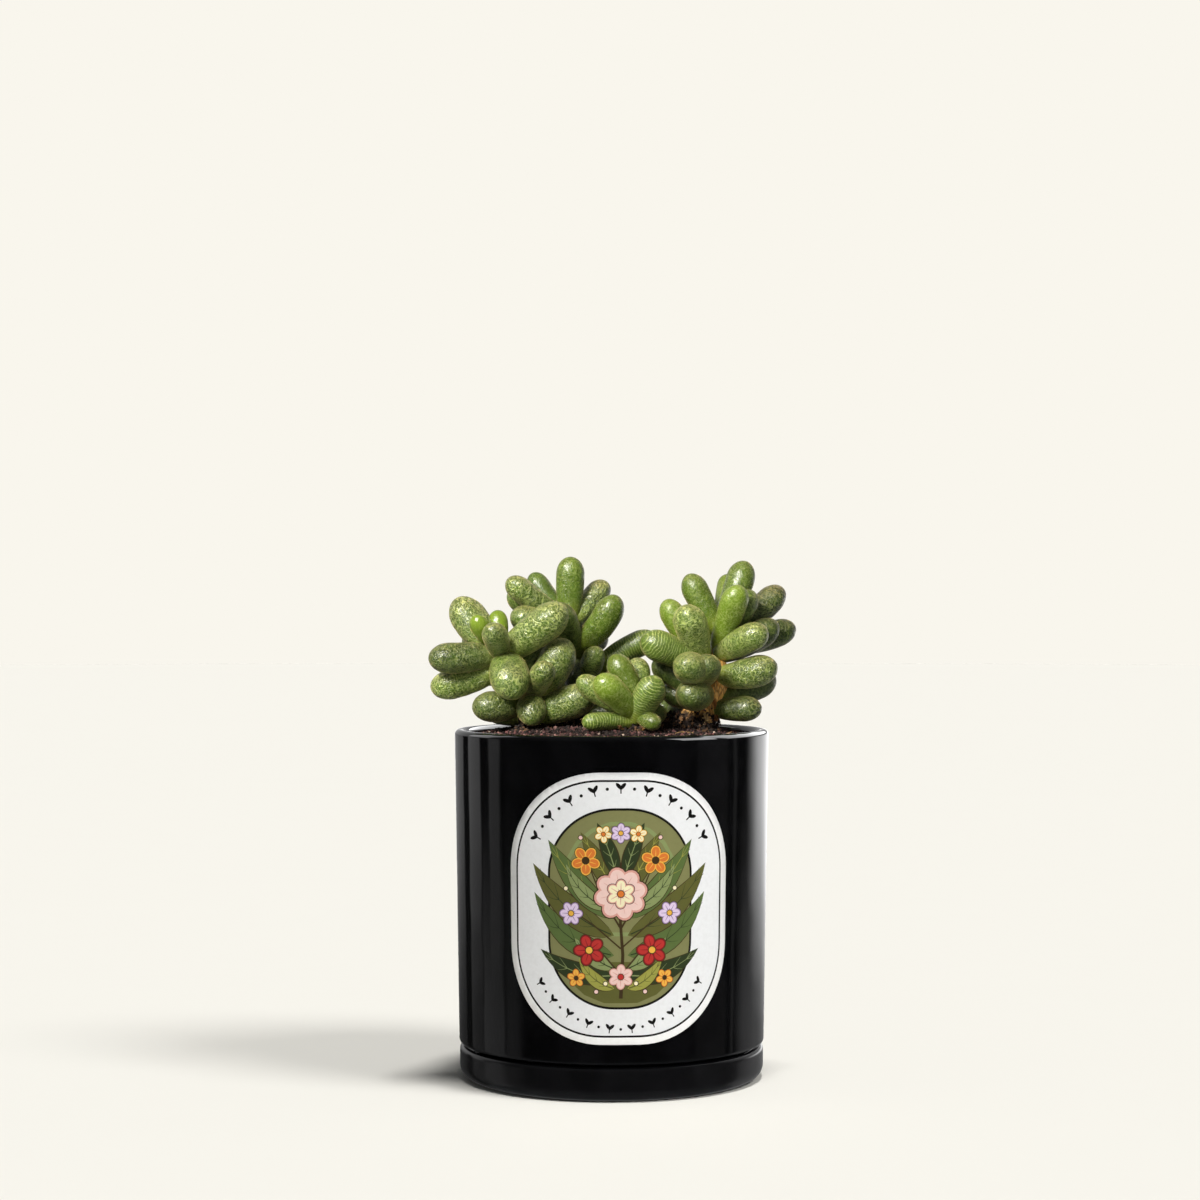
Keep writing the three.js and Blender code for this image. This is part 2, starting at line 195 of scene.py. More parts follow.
branch("stem_left_back", [
    (-10, 10, 96, 2.6), (-9.5, 10, 110, 2.6), (-9, 10, 120, 2.3), (-9.5, 9, 130, 2),
    (-12, 7.5, 138, 1.8), (-14, 6, 145, 1.4),
], [
    (144, -13, 4, 165.5, 9.2, -0.5, "smooth"),
    (143.5, -1.4, 13, 157.3, 8.6, 0, "tanned"),
    (136.5, 1.3, -2, 153.2, 10.1, 3.6, "smooth"),
    (144.5, -33, -2, 158.4, 8.7, 1, "netted"),
    (142, -26, 11, 160.1, 7.6, 0, "smooth_painted_shade"),
    (141, -33.3, 10, 154.2, 9.4, 0, "smooth"),
    (139.5, -31.5, -4, 147.5, 10.5, 0.5, "dull"),
    (133, -17.3, -4, 150.4, 9.5, 1, "dark"),
    (132, -1.7, 17, 139, 6.6, -1.5, "dark"),
    (124, -4.6, -1, 136.4, 7.7, 0.5, "pale"),
    (133.5, -11.5, 2, 122.5, 8.5, 1, "dark"),
    (144, -13, 22, 153, 9, 0.5, "netted"),
    (140.5, -2, 25, 145, 9.5, 1, "plain"),
    (137.5, -25, 24, 143, 9.5, 0, "netted"),
    (133, -13, 28, 134, 9.5, 0, "tanned"),
    (124, -22, 22, 124, 9, 0.5, "plain"),
    (114.5, 4.5, 8, 117.3, 7.5, 0.5, "dark"),
])
branch("stem_left_back", [
    (-9, 10, 114, 1.8), (-6.5, 11, 122, 1.6), (-5, 12, 129, 1.3),
], [
    (128.5, 15, 9, 139.5, 9.2, -1.5, "ringed"),
    (127, 2, 24, 132.5, 9, 0, "netted"),
    (118, -8, 26, 121, 9, -0.5, "netted"),
])
branch("stem_front", [
    (7, -24, 96, 2), (7, -24, 108, 2), (7, -23.5, 114, 1.8), (8, -23, 119.5, 1.3),
], [
    (119, 0, -24, 134.5, 9, -1, "leafy"),
    (116, -4.2, -35, 127.8, 9.4, 0, "fresh_painted_light"),
    (117, -10.5, -27, 127.6, 8.3, 1, "pale"),
    (114, 13.9, -31, 127.8, 9.6, 0, "ringed"),
    (113.5, -9, -31, 113.8, 6.2, -0.5, "ringed"),
    (117.5, 14.3, -32, 113.7, 5.9, 1, "smooth"),
    (119, 8.2, -14, 133.3, 7.9, 1, "pale"),
    (118.5, 15, -11, 124, 8, 0.5, "plain"),
    (115, 0, -10, 117.5, 7.5, 0.5, "plain"),
    (114.5, 16, -12, 116.8, 7.5, 0.5, "dark"),
])
branch("stem_right", [
    (27, -3, 96, 7), (27, -3.5, 109.5, 8.2), (28.5, -4, 114.5, 5.6), (32.3, -5.5, 119.5, 3.7),
    (34.3, -5.5, 125, 2.8), (33.8, -5, 134, 2.2), (34, -3, 143, 1.6),
], [
    (141, 24.2, -4, 159.8, 9.3, 0.5, "smooth"),
    (142.5, 37.9, 13, 159.7, 6.4, 1.5, "fresh"),
    (142, 42.9, 3, 164.1, 9.6, 2.5, "smooth"),
    (136, 40, -17, 155.9, 8.7, 0, "fresh_painted_light"),
    (138, 44.4, -7, 154.8, 8.4, 2, "plain"),
    (142, 54.8, 6, 155.7, 9.6, 2.5, "tanned_painted_shade"),
    (134.5, 48, -18, 142.2, 10, 0, "pale"),
    (134, 52.6, -7, 144.6, 10, 1, "dark"),
    (138, 58.7, 4.5, 143.5, 9.6, 2, "dark"),
    (127.5, 51.5, -15, 131.6, 10.8, 1.2, "netted"),
    (119, 52.2, -1, 127.3, 10, 0.5, "dark"),
    (117.5, 47.1, -12, 117.7, 8.7, 0.5, "netted_painted_shade"),
    (141, 41, 15, 153, 9.5, 0, "netted"),
    (140, 29, 15, 149, 9.5, 0.5, "plain"),
    (136, 48, 13, 141, 10, 0.5, "netted"),
    (132, 23, 13, 136, 10, 0.5, "tanned"),
    (128, 45, 13, 127, 10, 0.5, "plain"),
    (124, 22, 12, 124, 9.5, 0.5, "netted"),
    (119, 40, 12, 117, 9, 0.5, "plain"),
    (117, 19, 9, 116, 8.5, 0.5, "dark"),
])
branch("stem_right", [
    (30, -4.5, 115, 2.2), (29, -7, 123, 2), (28.5, -8, 130, 1.8), (27, -8, 136, 1.4),
], [
    (135, 17, -10, 151.7, 8.7, 1, "fresh_painted_light"),
    (132, 22.7, -21, 149, 10.6, -1.5, "pale"),
    (132, 9.6, -17, 139.8, 10.8, 0.5, "ringed"),
    (127, 22.6, -28.5, 131.9, 10.9, 0, "dull"),
    (121, 23.4, -24, 121.7, 11.2, -0.5, "dull_painted_shade"),
    (126, 29.8, -25, 132.4, 9.4, 0, "dull_painted_shade"),
    (119.5, 13, -5, 132, 9, -1, "dark"),
    (117, 16, 0, 122, 9, -1.5, "dark"),
])
branch("stem_back", [
    (10, 25, 96, 2), (10, 26, 108, 2), (11, 28, 114, 1.8), (11, 29, 119, 1.3),
], [
    (118.5, 10, 33, 127.5, 6, 0, "young"),
    (118, 7.5, 25.5, 126.5, 6, 0, "young"),
    (117.5, 16, 27, 126.5, 6.5, 0, "fresh"),
    (117, 18, 38, 124, 8, 0.5, "netted"),
    (116.5, 1, 34.5, 123.5, 8, 0.5, "pale"),
    (115.5, 9, 15.5, 121, 8, 0.5, "plain"),
    (114.5, 24, 29.5, 120.5, 8, 0.5, "netted"),
    (114, 6, 42, 116.5, 8, 0, "ringed"),
    (114.3, -3, 25, 116.3, 8, 0, "netted"),
    (114, 18.5, 14, 116.8, 8, 0, "plain"),
    (113.5, 21, 37.5, 116.3, 7.5, 0, "netted"),
])


def linear(*display):
    """A display colour of 0 to 255 a channel as a linear one, with full opacity."""
    channels = []
    for value in display:
        value /= 255
        channels.append(value / 12.92 if value <= 0.04045 else ((value + 0.055) / 1.055) ** 2.4)
    return (*channels, 1.0)


def smoothstep(low, high, value):
    """0 below the low end, 1 above the high one and smooth between them."""
    t = np.clip((value - low) / (high - low), 0, 1)
    return t * t * (3 - 2 * t)


def unit(vectors):
    """Vectors of length 1 in the same directions."""
    return vectors / np.linalg.norm(vectors, axis=-1, keepdims=True)


def polar(x, y, reach, angle):
    """The point at that reach and angle from another one."""
    return (x + reach * math.cos(angle), y + reach * math.sin(angle))


# Materials

class Shader:
    """A node material that is put together by short calls."""

    def __init__(self, name):
        self.material = bpy.data.materials.new(name)
        self.material.use_nodes = True
        self.tree = self.material.node_tree
        self.tree.nodes.clear()
        self.output = self.tree.nodes.new("ShaderNodeOutputMaterial")

    def node(self, kind, inputs=None, **settings):
        made = self.tree.nodes.new("ShaderNode" + kind)
        for key, value in settings.items():
            setattr(made, key, value)
        for key, value in (inputs or {}).items():
            self.feed(made.inputs[key], value)
        return made

    def feed(self, socket, value):
        if isinstance(value, bpy.types.NodeSocket):
            self.tree.links.new(value, socket)
        else:
            socket.default_value = value

    def math(self, operation, first, second=0.0):
        return self.node("Math", {0: first, 1: second}, operation=operation).outputs[0]

    def times(self, first, second):
        return self.math("MULTIPLY", first, second)

    def vector(self, operation, first, second):
        return self.node("VectorMath", {0: first, 1: second}, operation=operation).outputs[0]

    def between(self, value, low, high, to_low=0.0, to_high=1.0):
        inputs = {"Value": value, "From Min": low, "From Max": high,
                  "To Min": to_low, "To Max": to_high}
        return self.node("MapRange", inputs, interpolation_type="SMOOTHSTEP").outputs[0]

    def mix(self, share, first, second, blend="MIX"):
        made = self.node("Mix", data_type="RGBA", blend_type=blend)
        self.feed(made.inputs[0], share)
        self.feed(made.inputs[6], first)
        self.feed(made.inputs[7], second)
        return made.outputs[2]

    def attribute(self, name, output):
        return self.node("Attribute", attribute_name=name).outputs[output]

    def split(self, vector):
        return self.node("SeparateXYZ", {0: vector}).outputs

    def noise(self, place, scale, detail=2.0, roughness=0.5, output="Fac"):
        inputs = {"Vector": place, "Scale": scale, "Detail": detail, "Roughness": roughness}
        return self.node("TexNoise", inputs).outputs[output]

    def cracks(self, place, scale, width):
        """Lines along the borders of Voronoi cells, 1 on the line."""
        inputs = {"Vector": place, "Scale": scale}
        edge = self.node("TexVoronoi", inputs, feature="DISTANCE_TO_EDGE").outputs["Distance"]
        return self.between(edge, 0.0, width, 1.0, 0.0)

    def bump(self, height, distance, strength=1.0, normal=None):
        inputs = {"Height": height, "Distance": distance, "Strength": strength}
        if normal is not None:
            inputs["Normal"] = normal
        return self.node("Bump", inputs).outputs[0]

    def surface(self, **inputs):
        """Ends the material in a Principled shader, whose sockets are named in words."""
        named = {key.replace("_", " ").title().replace("Ior", "IOR"): value
                 for key, value in inputs.items()}
        shader = self.node("BsdfPrincipled", named)
        self.tree.links.new(shader.outputs[0], self.output.inputs[0])
        return self.material


def object_place(shader, per_metre):
    """The object's own coordinates, scaled so that one unit is 1 / per_metre metres."""
    place = shader.node("TexCoord").outputs["Object"]
    return shader.vector("MULTIPLY", place, (per_metre,) * 3)


def leaf_skin():
    """Waxy skin with a net or rings of fine pale ridges, tanned where it faces the sky, and each
    leaf made lighter or darker as a whole by its painted light and shade.
    """
    s = Shader("leaf_skin")
    place = s.attribute("leaf_place", "Vector")
    along = s.attribute("leaf_along", "Fac")
    youth, tan, rings = s.split(s.attribute("leaf_age", "Vector"))
    net, light, chance = s.split(s.attribute("leaf_skin", "Vector"))

    def shifted(scale, reach):
        warp = s.noise(place, scale, 1.0, output="Color")
        warp = s.vector("SUBTRACT", warp, (0.5, 0.5, 0.5))
        return s.vector("ADD", place, s.vector("MULTIPLY", warp, (reach, reach, reach)))

    swirl = s.noise(place, 0.46, 1.0)
    _, lengthwise, _ = s.split(shifted(0.35, 1.5))
    turns = s.math("ADD", s.times(swirl, s.between(rings, 0.0, 1.0, 4.0, 0.6)),
                   s.times(lengthwise, s.between(rings, 0.0, 1.0, 0.35, 1.1)))
    wave = s.math("SINE", s.times(turns, 2 * math.pi))
    curls = s.between(wave, 0.35, 0.92)
    fine = s.cracks(shifted(1.6, 0.8), 1.1, 0.13)
    fine = s.times(fine, s.between(rings, 0.0, 1.0, 0.65, 0.2))
    broken = s.between(s.noise(place, 1.3, 1.0), 0.34, 0.56, 0.4, 1.0)
    patches = s.between(s.noise(place, 0.16, 1.0), 0.36, 0.6, 0.7, 1.0)
    curls = s.times(curls, s.between(rings, 0.0, 1.0, 1.0, 0.8))
    ridge = s.math("MAXIMUM", s.times(curls, broken), fine)
    ridge = s.times(s.times(ridge, net), patches)

    clouds = s.noise(place, 0.22, 2.0, 0.6)
    grain = s.noise(place, 3.0, 2.0, 0.6)
    up = s.split(s.node("NewGeometry").outputs["Normal"])[2]
    facing = s.between(up, -0.2, 0.95)
    flesh = s.mix(s.between(clouds, 0.3, 0.7), linear(37, 56, 8), linear(58, 84, 17))
    flesh = s.mix(s.between(chance, 0.0, 1.0, 0.0, 0.45), flesh, linear(60, 80, 22))
    flesh = s.mix(s.between(along, 0.02, 0.42, 0.7, 0.0), flesh, linear(134, 146, 44))
    flesh = s.mix(s.times(youth, 0.75), flesh, linear(98, 118, 28))
    speck = s.between(grain, 0.5, 0.7, 0.0, 0.2)
    flesh = s.mix(s.times(speck, s.between(net, 0.0, 1.0, 0.25, 0.9)), flesh,
                  linear(120, 134, 72))
    sunned = s.times(s.times(facing, tan), s.between(along, 0.3, 0.95))
    line_tone = s.mix(sunned, linear(166, 178, 102), linear(208, 184, 128))
    flesh = s.mix(s.times(sunned, 0.3), flesh, linear(146, 130, 82))
    flesh = s.mix(s.times(ridge, 0.7), flesh, line_tone)
    # Painted light and shade: the leaf's light value raises or lowers the value of its whole colour
    value = s.math("ADD", 1.0, light)
    flesh = s.node("HueSaturation", {"Value": value, "Color": flesh}).outputs[0]

    dry = s.times(net, s.math("SUBTRACT", 1.0, youth))
    roughness = s.math("ADD", s.between(dry, 0.0, 1.0, 0.2, 0.34), s.times(grain, 0.08))
    swells = s.noise(place, 0.5, 2.0)
    relief = s.math("ADD", ridge, s.times(grain, 0.35))
    waxy = s.bump(swells, 0.0004, 0.5)
    return s.surface(
        base_color=flesh,
        roughness=roughness,
        normal=s.bump(relief, 0.00017, 1.0, waxy),
        ior=1.5,
        coat_weight=s.between(ridge, 0.0, 0.7, 0.25, 1.0),
        coat_roughness=0.24,
        coat_ior=1.45,
        coat_normal=s.bump(relief, 0.0001, 1.0, waxy),
        subsurface_weight=0.08,
        subsurface_radius=(0.8, 1.2, 0.3),
        subsurface_scale=0.001,
        sheen_weight=0.45,
        sheen_roughness=0.25,
        sheen_tint=linear(232, 206, 142),
    )


def bark():
    """Fibrous bark, orange-brown above and darker towards the foot, as painted shade near the soil.
    """
    s = Shader("bark")
    place = object_place(s, 1000)
    flat = s.vector("MULTIPLY", place, (1.0, 1.0, 0.25))
    fibre = s.noise(flat, 1.6, 4.0, 0.65)
    blotch = s.noise(place, 0.35, 2.0)
    scale = s.cracks(flat, 0.7, 0.12)
    height = s.split(place)[2]
    tone = s.mix(s.between(fibre, 0.3, 0.7), linear(190, 126, 54), linear(250, 200, 120))
    tone = s.mix(s.between(blotch, 0.5, 0.7), tone, linear(206, 160, 80))
    tone = s.mix(s.times(scale, 0.6), tone, linear(46, 28, 12))
    # Painted shade: the bark turns black-brown towards the foot, near the soil
    foot = s.between(s.math("ADD", height, s.times(blotch, 8.0)), 118.5, 122.0)
    tone = s.mix(foot, s.mix(fibre, linear(16, 11, 7), linear(62, 44, 28)), tone)
    relief = s.math("SUBTRACT", fibre, s.times(scale, 0.5))
    return s.surface(base_color=tone, roughness=0.78, normal=s.bump(relief, 0.0005, 0.9), ior=1.4)


def crumbs(name, dark, light, roughness=0.9):
    """Grit whose tone comes from each crumb's own number, which for the soil's crumbs includes
    painted shade.
    """
    s = Shader(name)
    place = object_place(s, 1000)
    fleck = s.noise(place, 1.8, 3.0, 0.6)
    own = s.attribute("crumb_tone", "Vector")
    tone = s.mix(s.between(fleck, 0.3, 0.75, 0.0, 0.45), own, dark)
    tone = s.mix(s.between(fleck, 0.62, 0.8, 0.0, 0.4), tone, light)
    relief = s.bump(fleck, 0.0003, 0.8)
    return s.surface(base_color=tone, roughness=roughness, normal=relief, ior=1.4)


def earth():
    """Fine dark soil under the grit."""
    s = Shader("earth")
    place = object_place(s, 1000)
    clods = s.noise(place, 0.5, 5.0, 0.7)
    grit = s.node("TexVoronoi", {"Vector": place, "Scale": 0.9}).outputs["Distance"]
    tone = s.mix(s.between(clods, 0.35, 0.65), linear(30, 21, 18), linear(66, 46, 40))
    tone = s.mix(s.between(grit, 0.0, 0.5, 0.5, 0.0), tone, linear(98, 66, 60))
    relief = s.math("SUBTRACT", clods, s.times(grit, 0.6))
    return s.surface(base_color=tone, roughness=0.95, normal=s.bump(relief, 0.0009, 1.0), ior=1.35)


def glaze(name, roughness, tone):
    """Black glaze with the faint waves and pinpricks of fired ceramic."""
    s = Shader(name)
    place = object_place(s, 1000)
    waves = s.noise(place, 0.05, 1.0)
    peel = s.noise(place, 0.45, 2.0)
    haze = s.noise(place, 0.09, 3.0)
    colour = s.mix(s.between(haze, 0.35, 0.65), tone, linear(10, 10, 12))
    worn = s.math("ADD", roughness, s.between(haze, 0.4, 0.75, 0.0, 0.03))
    normal = s.bump(waves, 0.0006, 0.35)
    normal = s.bump(peel, 0.00001, 0.5, normal)
    return s.surface(base_color=colour, roughness=worn, normal=normal, ior=1.5)


def paper():
    """Coated label paper with its printed inks."""
    s = Shader("printed_paper")
    place = object_place(s, 1000)
    ink = s.attribute("ink", "Color")
    fibre = s.noise(place, 6.0, 3.0, 0.7)
    mottle = s.noise(place, 0.8, 4.0, 0.6)
    tone = s.mix(s.between(mottle, 0.35, 0.7, 0.0, 0.05), ink, linear(120, 112, 84), "MULTIPLY")
    tone = s.mix(s.between(fibre, 0.45, 0.8, 0.0, 0.05), tone, linear(150, 146, 128), "MULTIPLY")
    return s.surface(
        base_color=tone,
        roughness=s.between(mottle, 0.3, 0.7, 0.4, 0.5),
        normal=s.bump(fibre, 0.000008, 0.6),
        ior=1.4,
    )


def floor_paint():
    """Seamless matte paper, barely mottled."""
    s = Shader("floor_paint")
    place = object_place(s, 10)
    mottle = s.noise(place, 3.0, 3.0)
    tone = s.mix(s.between(mottle, 0.3, 0.7), FLOOR_TONE, tuple(c * 0.998 for c in FLOOR_TONE))
    return s.surface(base_color=tone, roughness=1.0, specular_ior_level=0.0)


def emitter(name, tone, glows=False):
    """An evenly lit stage surface, or one whose light follows its glow attribute."""
    s = Shader(name)
    power = s.attribute("glow", "Fac") if glows else 1.0
    shader = s.node("Emission", {"Color": tone, "Strength": power})
    s.tree.links.new(shader.outputs[0], s.output.inputs[0])
    return s.material


# Mesh making

plant_pieces = bpy.data.collections.new("plant_pieces")
pot_pieces = bpy.data.collections.new("pot_pieces")


def placed(name, data):
    """A new object of the scene."""
    made = bpy.data.objects.new(name, data)
    bpy.context.scene.collection.objects.link(made)
    return made


def make_mesh(name, points, faces, materials, values=None, material_of=None):
    """A smooth object from points in millimetres, with its named point values."""
    mesh = bpy.data.meshes.new(name)
    mesh.from_pydata((np.asarray(points, float) * MM).tolist(), [], faces)
    mesh.polygons.foreach_set("use_smooth", np.ones(len(mesh.polygons), bool))
    for material in materials:
        mesh.materials.append(material)
    if material_of is not None:
        mesh.polygons.foreach_set("material_index", np.asarray(material_of, np.int32))
    for key, data in (values or {}).items():
        data = np.asarray(data, np.float32)
        kind, field = ("FLOAT", "value") if data.ndim == 1 else ("FLOAT_VECTOR", "vector")
        mesh.attributes.new(key, kind, "POINT").data.foreach_set(field, data.ravel())
    mesh.update()
    return placed(name, mesh)


def object_piece(name, slot, points, faces, materials, replaced=None, **more):
    """A visible piece of the object, standing for the CAD node named in replaced."""
    made = make_mesh(name, points, faces, materials, **more)
    group = pot_pieces if slot in ("glaze", "label") else plant_pieces
    group.objects.link(made)
    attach(made, "root")
    if replaced:
        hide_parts(replaced)
    return made


class Gathered:
    """The points, faces and point values of one piece as its parts are added."""

    def __init__(self):
        self.points, self.faces, self.material_of, self.values = [], [], [], {}
        self.count = 0

    def add(self, points, faces, material=0, **values):
        """Adds a part. Each value is one for the whole part or one for each point."""
        for key, value in values.items():
            value = np.asarray(value, float)
            if value.shape[:1] != (len(points),):
                value = np.broadcast_to(value, (len(points), *value.shape))
            self.values.setdefault(key, []).append(value)
        self.faces.extend(tuple(self.count + v for v in face) for face in faces)
        self.material_of.extend([material] * len(faces))
        self.points.append(points)
        self.count += len(points)

    def finish(self, name, slot, materials, replaced=None):
        """Makes the piece."""
        values = {key: np.concatenate(parts) for key, parts in self.values.items()}
        object_piece(name, slot, np.vstack(self.points), self.faces, materials, replaced,
                     values=values, material_of=self.material_of)


def grid_faces(rows, columns, closed_rows=False):
    """Quads over rows of points whose columns close round."""
    faces = []
    for row in range(rows if closed_rows else rows - 1):
        here, following = row * columns, (row + 1) % rows * columns
        for column in range(columns):
            right = (column + 1) % columns
            faces.append((here + column, here + right, following + right, following + column))
    return faces


def rounded_profile(corners, steps=9, spacing=4.0, guard=0.4):
    """A closed outline of radius and height whose corners each have their own rounding."""
    runs = []
    count = len(corners)
    for i, (radius, height, rounding) in enumerate(corners):
        here = np.array([radius, height], float)
        before = unit(np.array(corners[i - 1][:2], float) - here)
        after = unit(np.array(corners[(i + 1) % count][:2], float) - here)
        half = math.acos(np.clip(before @ after, -1, 1)) / 2
        reach = rounding / math.tan(half)
        middle = here + unit(before + after) * rounding / math.sin(half)
        start = here + before * reach - middle
        end = here + after * reach - middle
        sweep = math.pi - 2 * half
        turn = math.copysign(sweep, start[0] * end[1] - start[1] * end[0])
        arc = []
        for step in range(steps + 1):
            angle = turn * step / steps
            cos, sin = math.cos(angle), math.sin(angle)
            arc.append(middle + (start[0] * cos - start[1] * sin, start[0] * sin + start[1] * cos))
        runs.append(arc)
    outline = []
    for i, arc in enumerate(runs):
        outline.extend(arc)
        start, end = arc[-1], runs[(i + 1) % count][0]
        length = np.linalg.norm(end - start)
        if length > 3 * guard:
            inner = np.linspace(guard, length - guard, max(2, math.ceil(length / spacing)))
            outline.extend(start + (end - start) * d / length for d in inner)
    return np.array(outline)


def around(radii, heights, segments, start=0.0):
    """Points evenly about Z, row by row, each row with its radius and height."""
    angles = start + np.linspace(0, 2 * math.pi, segments, endpoint=False)
    radii = np.asarray(radii, float)[:, None]
    heights = np.repeat(np.asarray(heights, float)[:, None], segments, 1)
    return np.stack([radii * np.cos(angles), radii * np.sin(angles), heights], -1).reshape(-1, 3)


def turned(outline, segments=ROUND_SEGMENTS):
    """Points and faces of a closed outline of radius and height turned about Z."""
    points = around(outline[:, 0], outline[:, 1], segments)
    return points, grid_faces(len(outline), segments, closed_rows=True)


def wall_radius(height):
    """The pot's outer radius at a height."""
    return np.interp(height, (WALL_FOOT, WALL_TOP), (POT_SHOULDER_RADIUS, POT_RIM_RADIUS))


def inner_radius(height):
    """The pot's inner radius at a height."""
    top = POT_RIM_RADIUS - POT_WALL
    return np.interp(height, (POT_INNER_BEND_HEIGHT, WALL_TOP), (POT_INNER_BEND_RADIUS, top))


def ripple(points, size, seed):
    """Smooth noise at each point, for features of about that size."""
    shift = Vector((seed * 17.3, seed * 5.1, seed * 11.9))
    return np.array([noise.noise(Vector(p) / size + shift) for p in points.tolist()])


# Pot and saucer

def make_pot():
    """The pot's turned body with its recessed foot and drain hole."""
    slope = (POT_RIM_RADIUS - POT_SHOULDER_RADIUS) / (WALL_TOP - WALL_FOOT)
    inner_top = POT_RIM_RADIUS - POT_WALL
    inner_slope = (inner_top - POT_INNER_BEND_RADIUS) / (WALL_TOP - POT_INNER_BEND_HEIGHT)
    outline = rounded_profile([
        (DRAIN_RADIUS, POT_FOOT_HEIGHT, DRAIN_ROUND),
        (POT_FOOT_RADIUS, POT_FOOT_HEIGHT, POT_FOOT_ROUND),
        (POT_FOOT_RADIUS, POT_SHOULDER_HEIGHT, POT_STEP_ROUND),
        (POT_SHOULDER_RADIUS - slope * POT_SHOULDER_ROUND, POT_SHOULDER_HEIGHT, POT_SHOULDER_ROUND),
        (POT_RIM_RADIUS + slope * POT_LIP_ROUND, POT_HEIGHT, POT_LIP_ROUND),
        (inner_top + inner_slope * POT_LIP_ROUND, POT_HEIGHT, POT_LIP_ROUND),
        (POT_INNER_BEND_RADIUS, POT_INNER_BEND_HEIGHT, POT_INNER_BEND_ROUND),
        (POT_INNER_BOTTOM_RADIUS, POT_FLOOR_HEIGHT, POT_BOTTOM_ROUND),
        (DRAIN_RADIUS, POT_FLOOR_HEIGHT, DRAIN_ROUND),
    ])
    points, faces = turned(outline)
    object_piece("glazed_pot", "glaze", points, faces,
                 [glaze("pot_glaze", 0.035, linear(4, 4, 5))], "pot")


def make_saucer():
    """The saucer's turned body."""
    inner = SAUCER_RADIUS - SAUCER_WALL
    outline = rounded_profile([
        (SAUCER_CENTRE, 0, SAUCER_CENTRE_ROUND),
        (SAUCER_RADIUS, 0, SAUCER_FOOT_ROUND),
        (SAUCER_RADIUS, SAUCER_HEIGHT, SAUCER_LIP_ROUND),
        (inner, SAUCER_HEIGHT, SAUCER_LIP_ROUND),
        (inner, SAUCER_FLOOR, SAUCER_INNER_ROUND),
        (SAUCER_CENTRE, SAUCER_FLOOR, SAUCER_CENTRE_ROUND),
    ])
    points, faces = turned(outline)
    # The innermost row below and the one above are closed by a flat face each
    segments = ROUND_SEGMENTS
    under, over = [int(np.argmin(outline[:, 0] + 100 * abs(outline[:, 1] - height)))
                   for height in (0, SAUCER_FLOOR)]
    faces = [f for f in faces if {f[0] // segments, f[2] // segments} != {under, over}]
    faces.append(tuple(range(under * segments, (under + 1) * segments))[::-1])
    faces.append(tuple(range(over * segments, (over + 1) * segments)))
    object_piece("glazed_saucer", "glaze", points, faces,
                 [glaze("saucer_glaze", 0.16, linear(17, 17, 19))], "saucer")


# Label

INK = {
    "white": linear(250, 250, 250),
    "field": linear(240, 241, 243),
    "black": linear(16, 14, 12),
    "olive": linear(132, 132, 84),
    "moss": linear(98, 98, 46),
    "bottle": linear(50, 62, 34),
    "green": linear(92, 112, 58),
    "sage": linear(138, 152, 96),
    "lime": linear(158, 158, 70),
    "rose": linear(240, 205, 196),
    "blush": linear(220, 160, 146),
    "red": linear(190, 48, 44),
    "wine": linear(132, 26, 28),
    "orange": linear(222, 122, 48),
    "gold": linear(238, 182, 70),
    "lilac": linear(226, 206, 232),
    "violet": linear(156, 128, 170),
    "cream": linear(246, 236, 196),
    "sepia": linear(66, 50, 26),
}


def rounded_rectangle(width, height, corner, steps=20):
    """Corners of a rounded rectangle, anticlockwise from its lower right."""
    x, y = width / 2 - corner, height / 2 - corner
    points = []
    for start, cx, cy in ((-90, x, -y), (0, x, y), (90, -x, y), (180, -x, -y)):
        for step in range(steps + 1):
            points.append(polar(cx, cy, corner, math.radians(start + 90 * step / steps)))
    return points


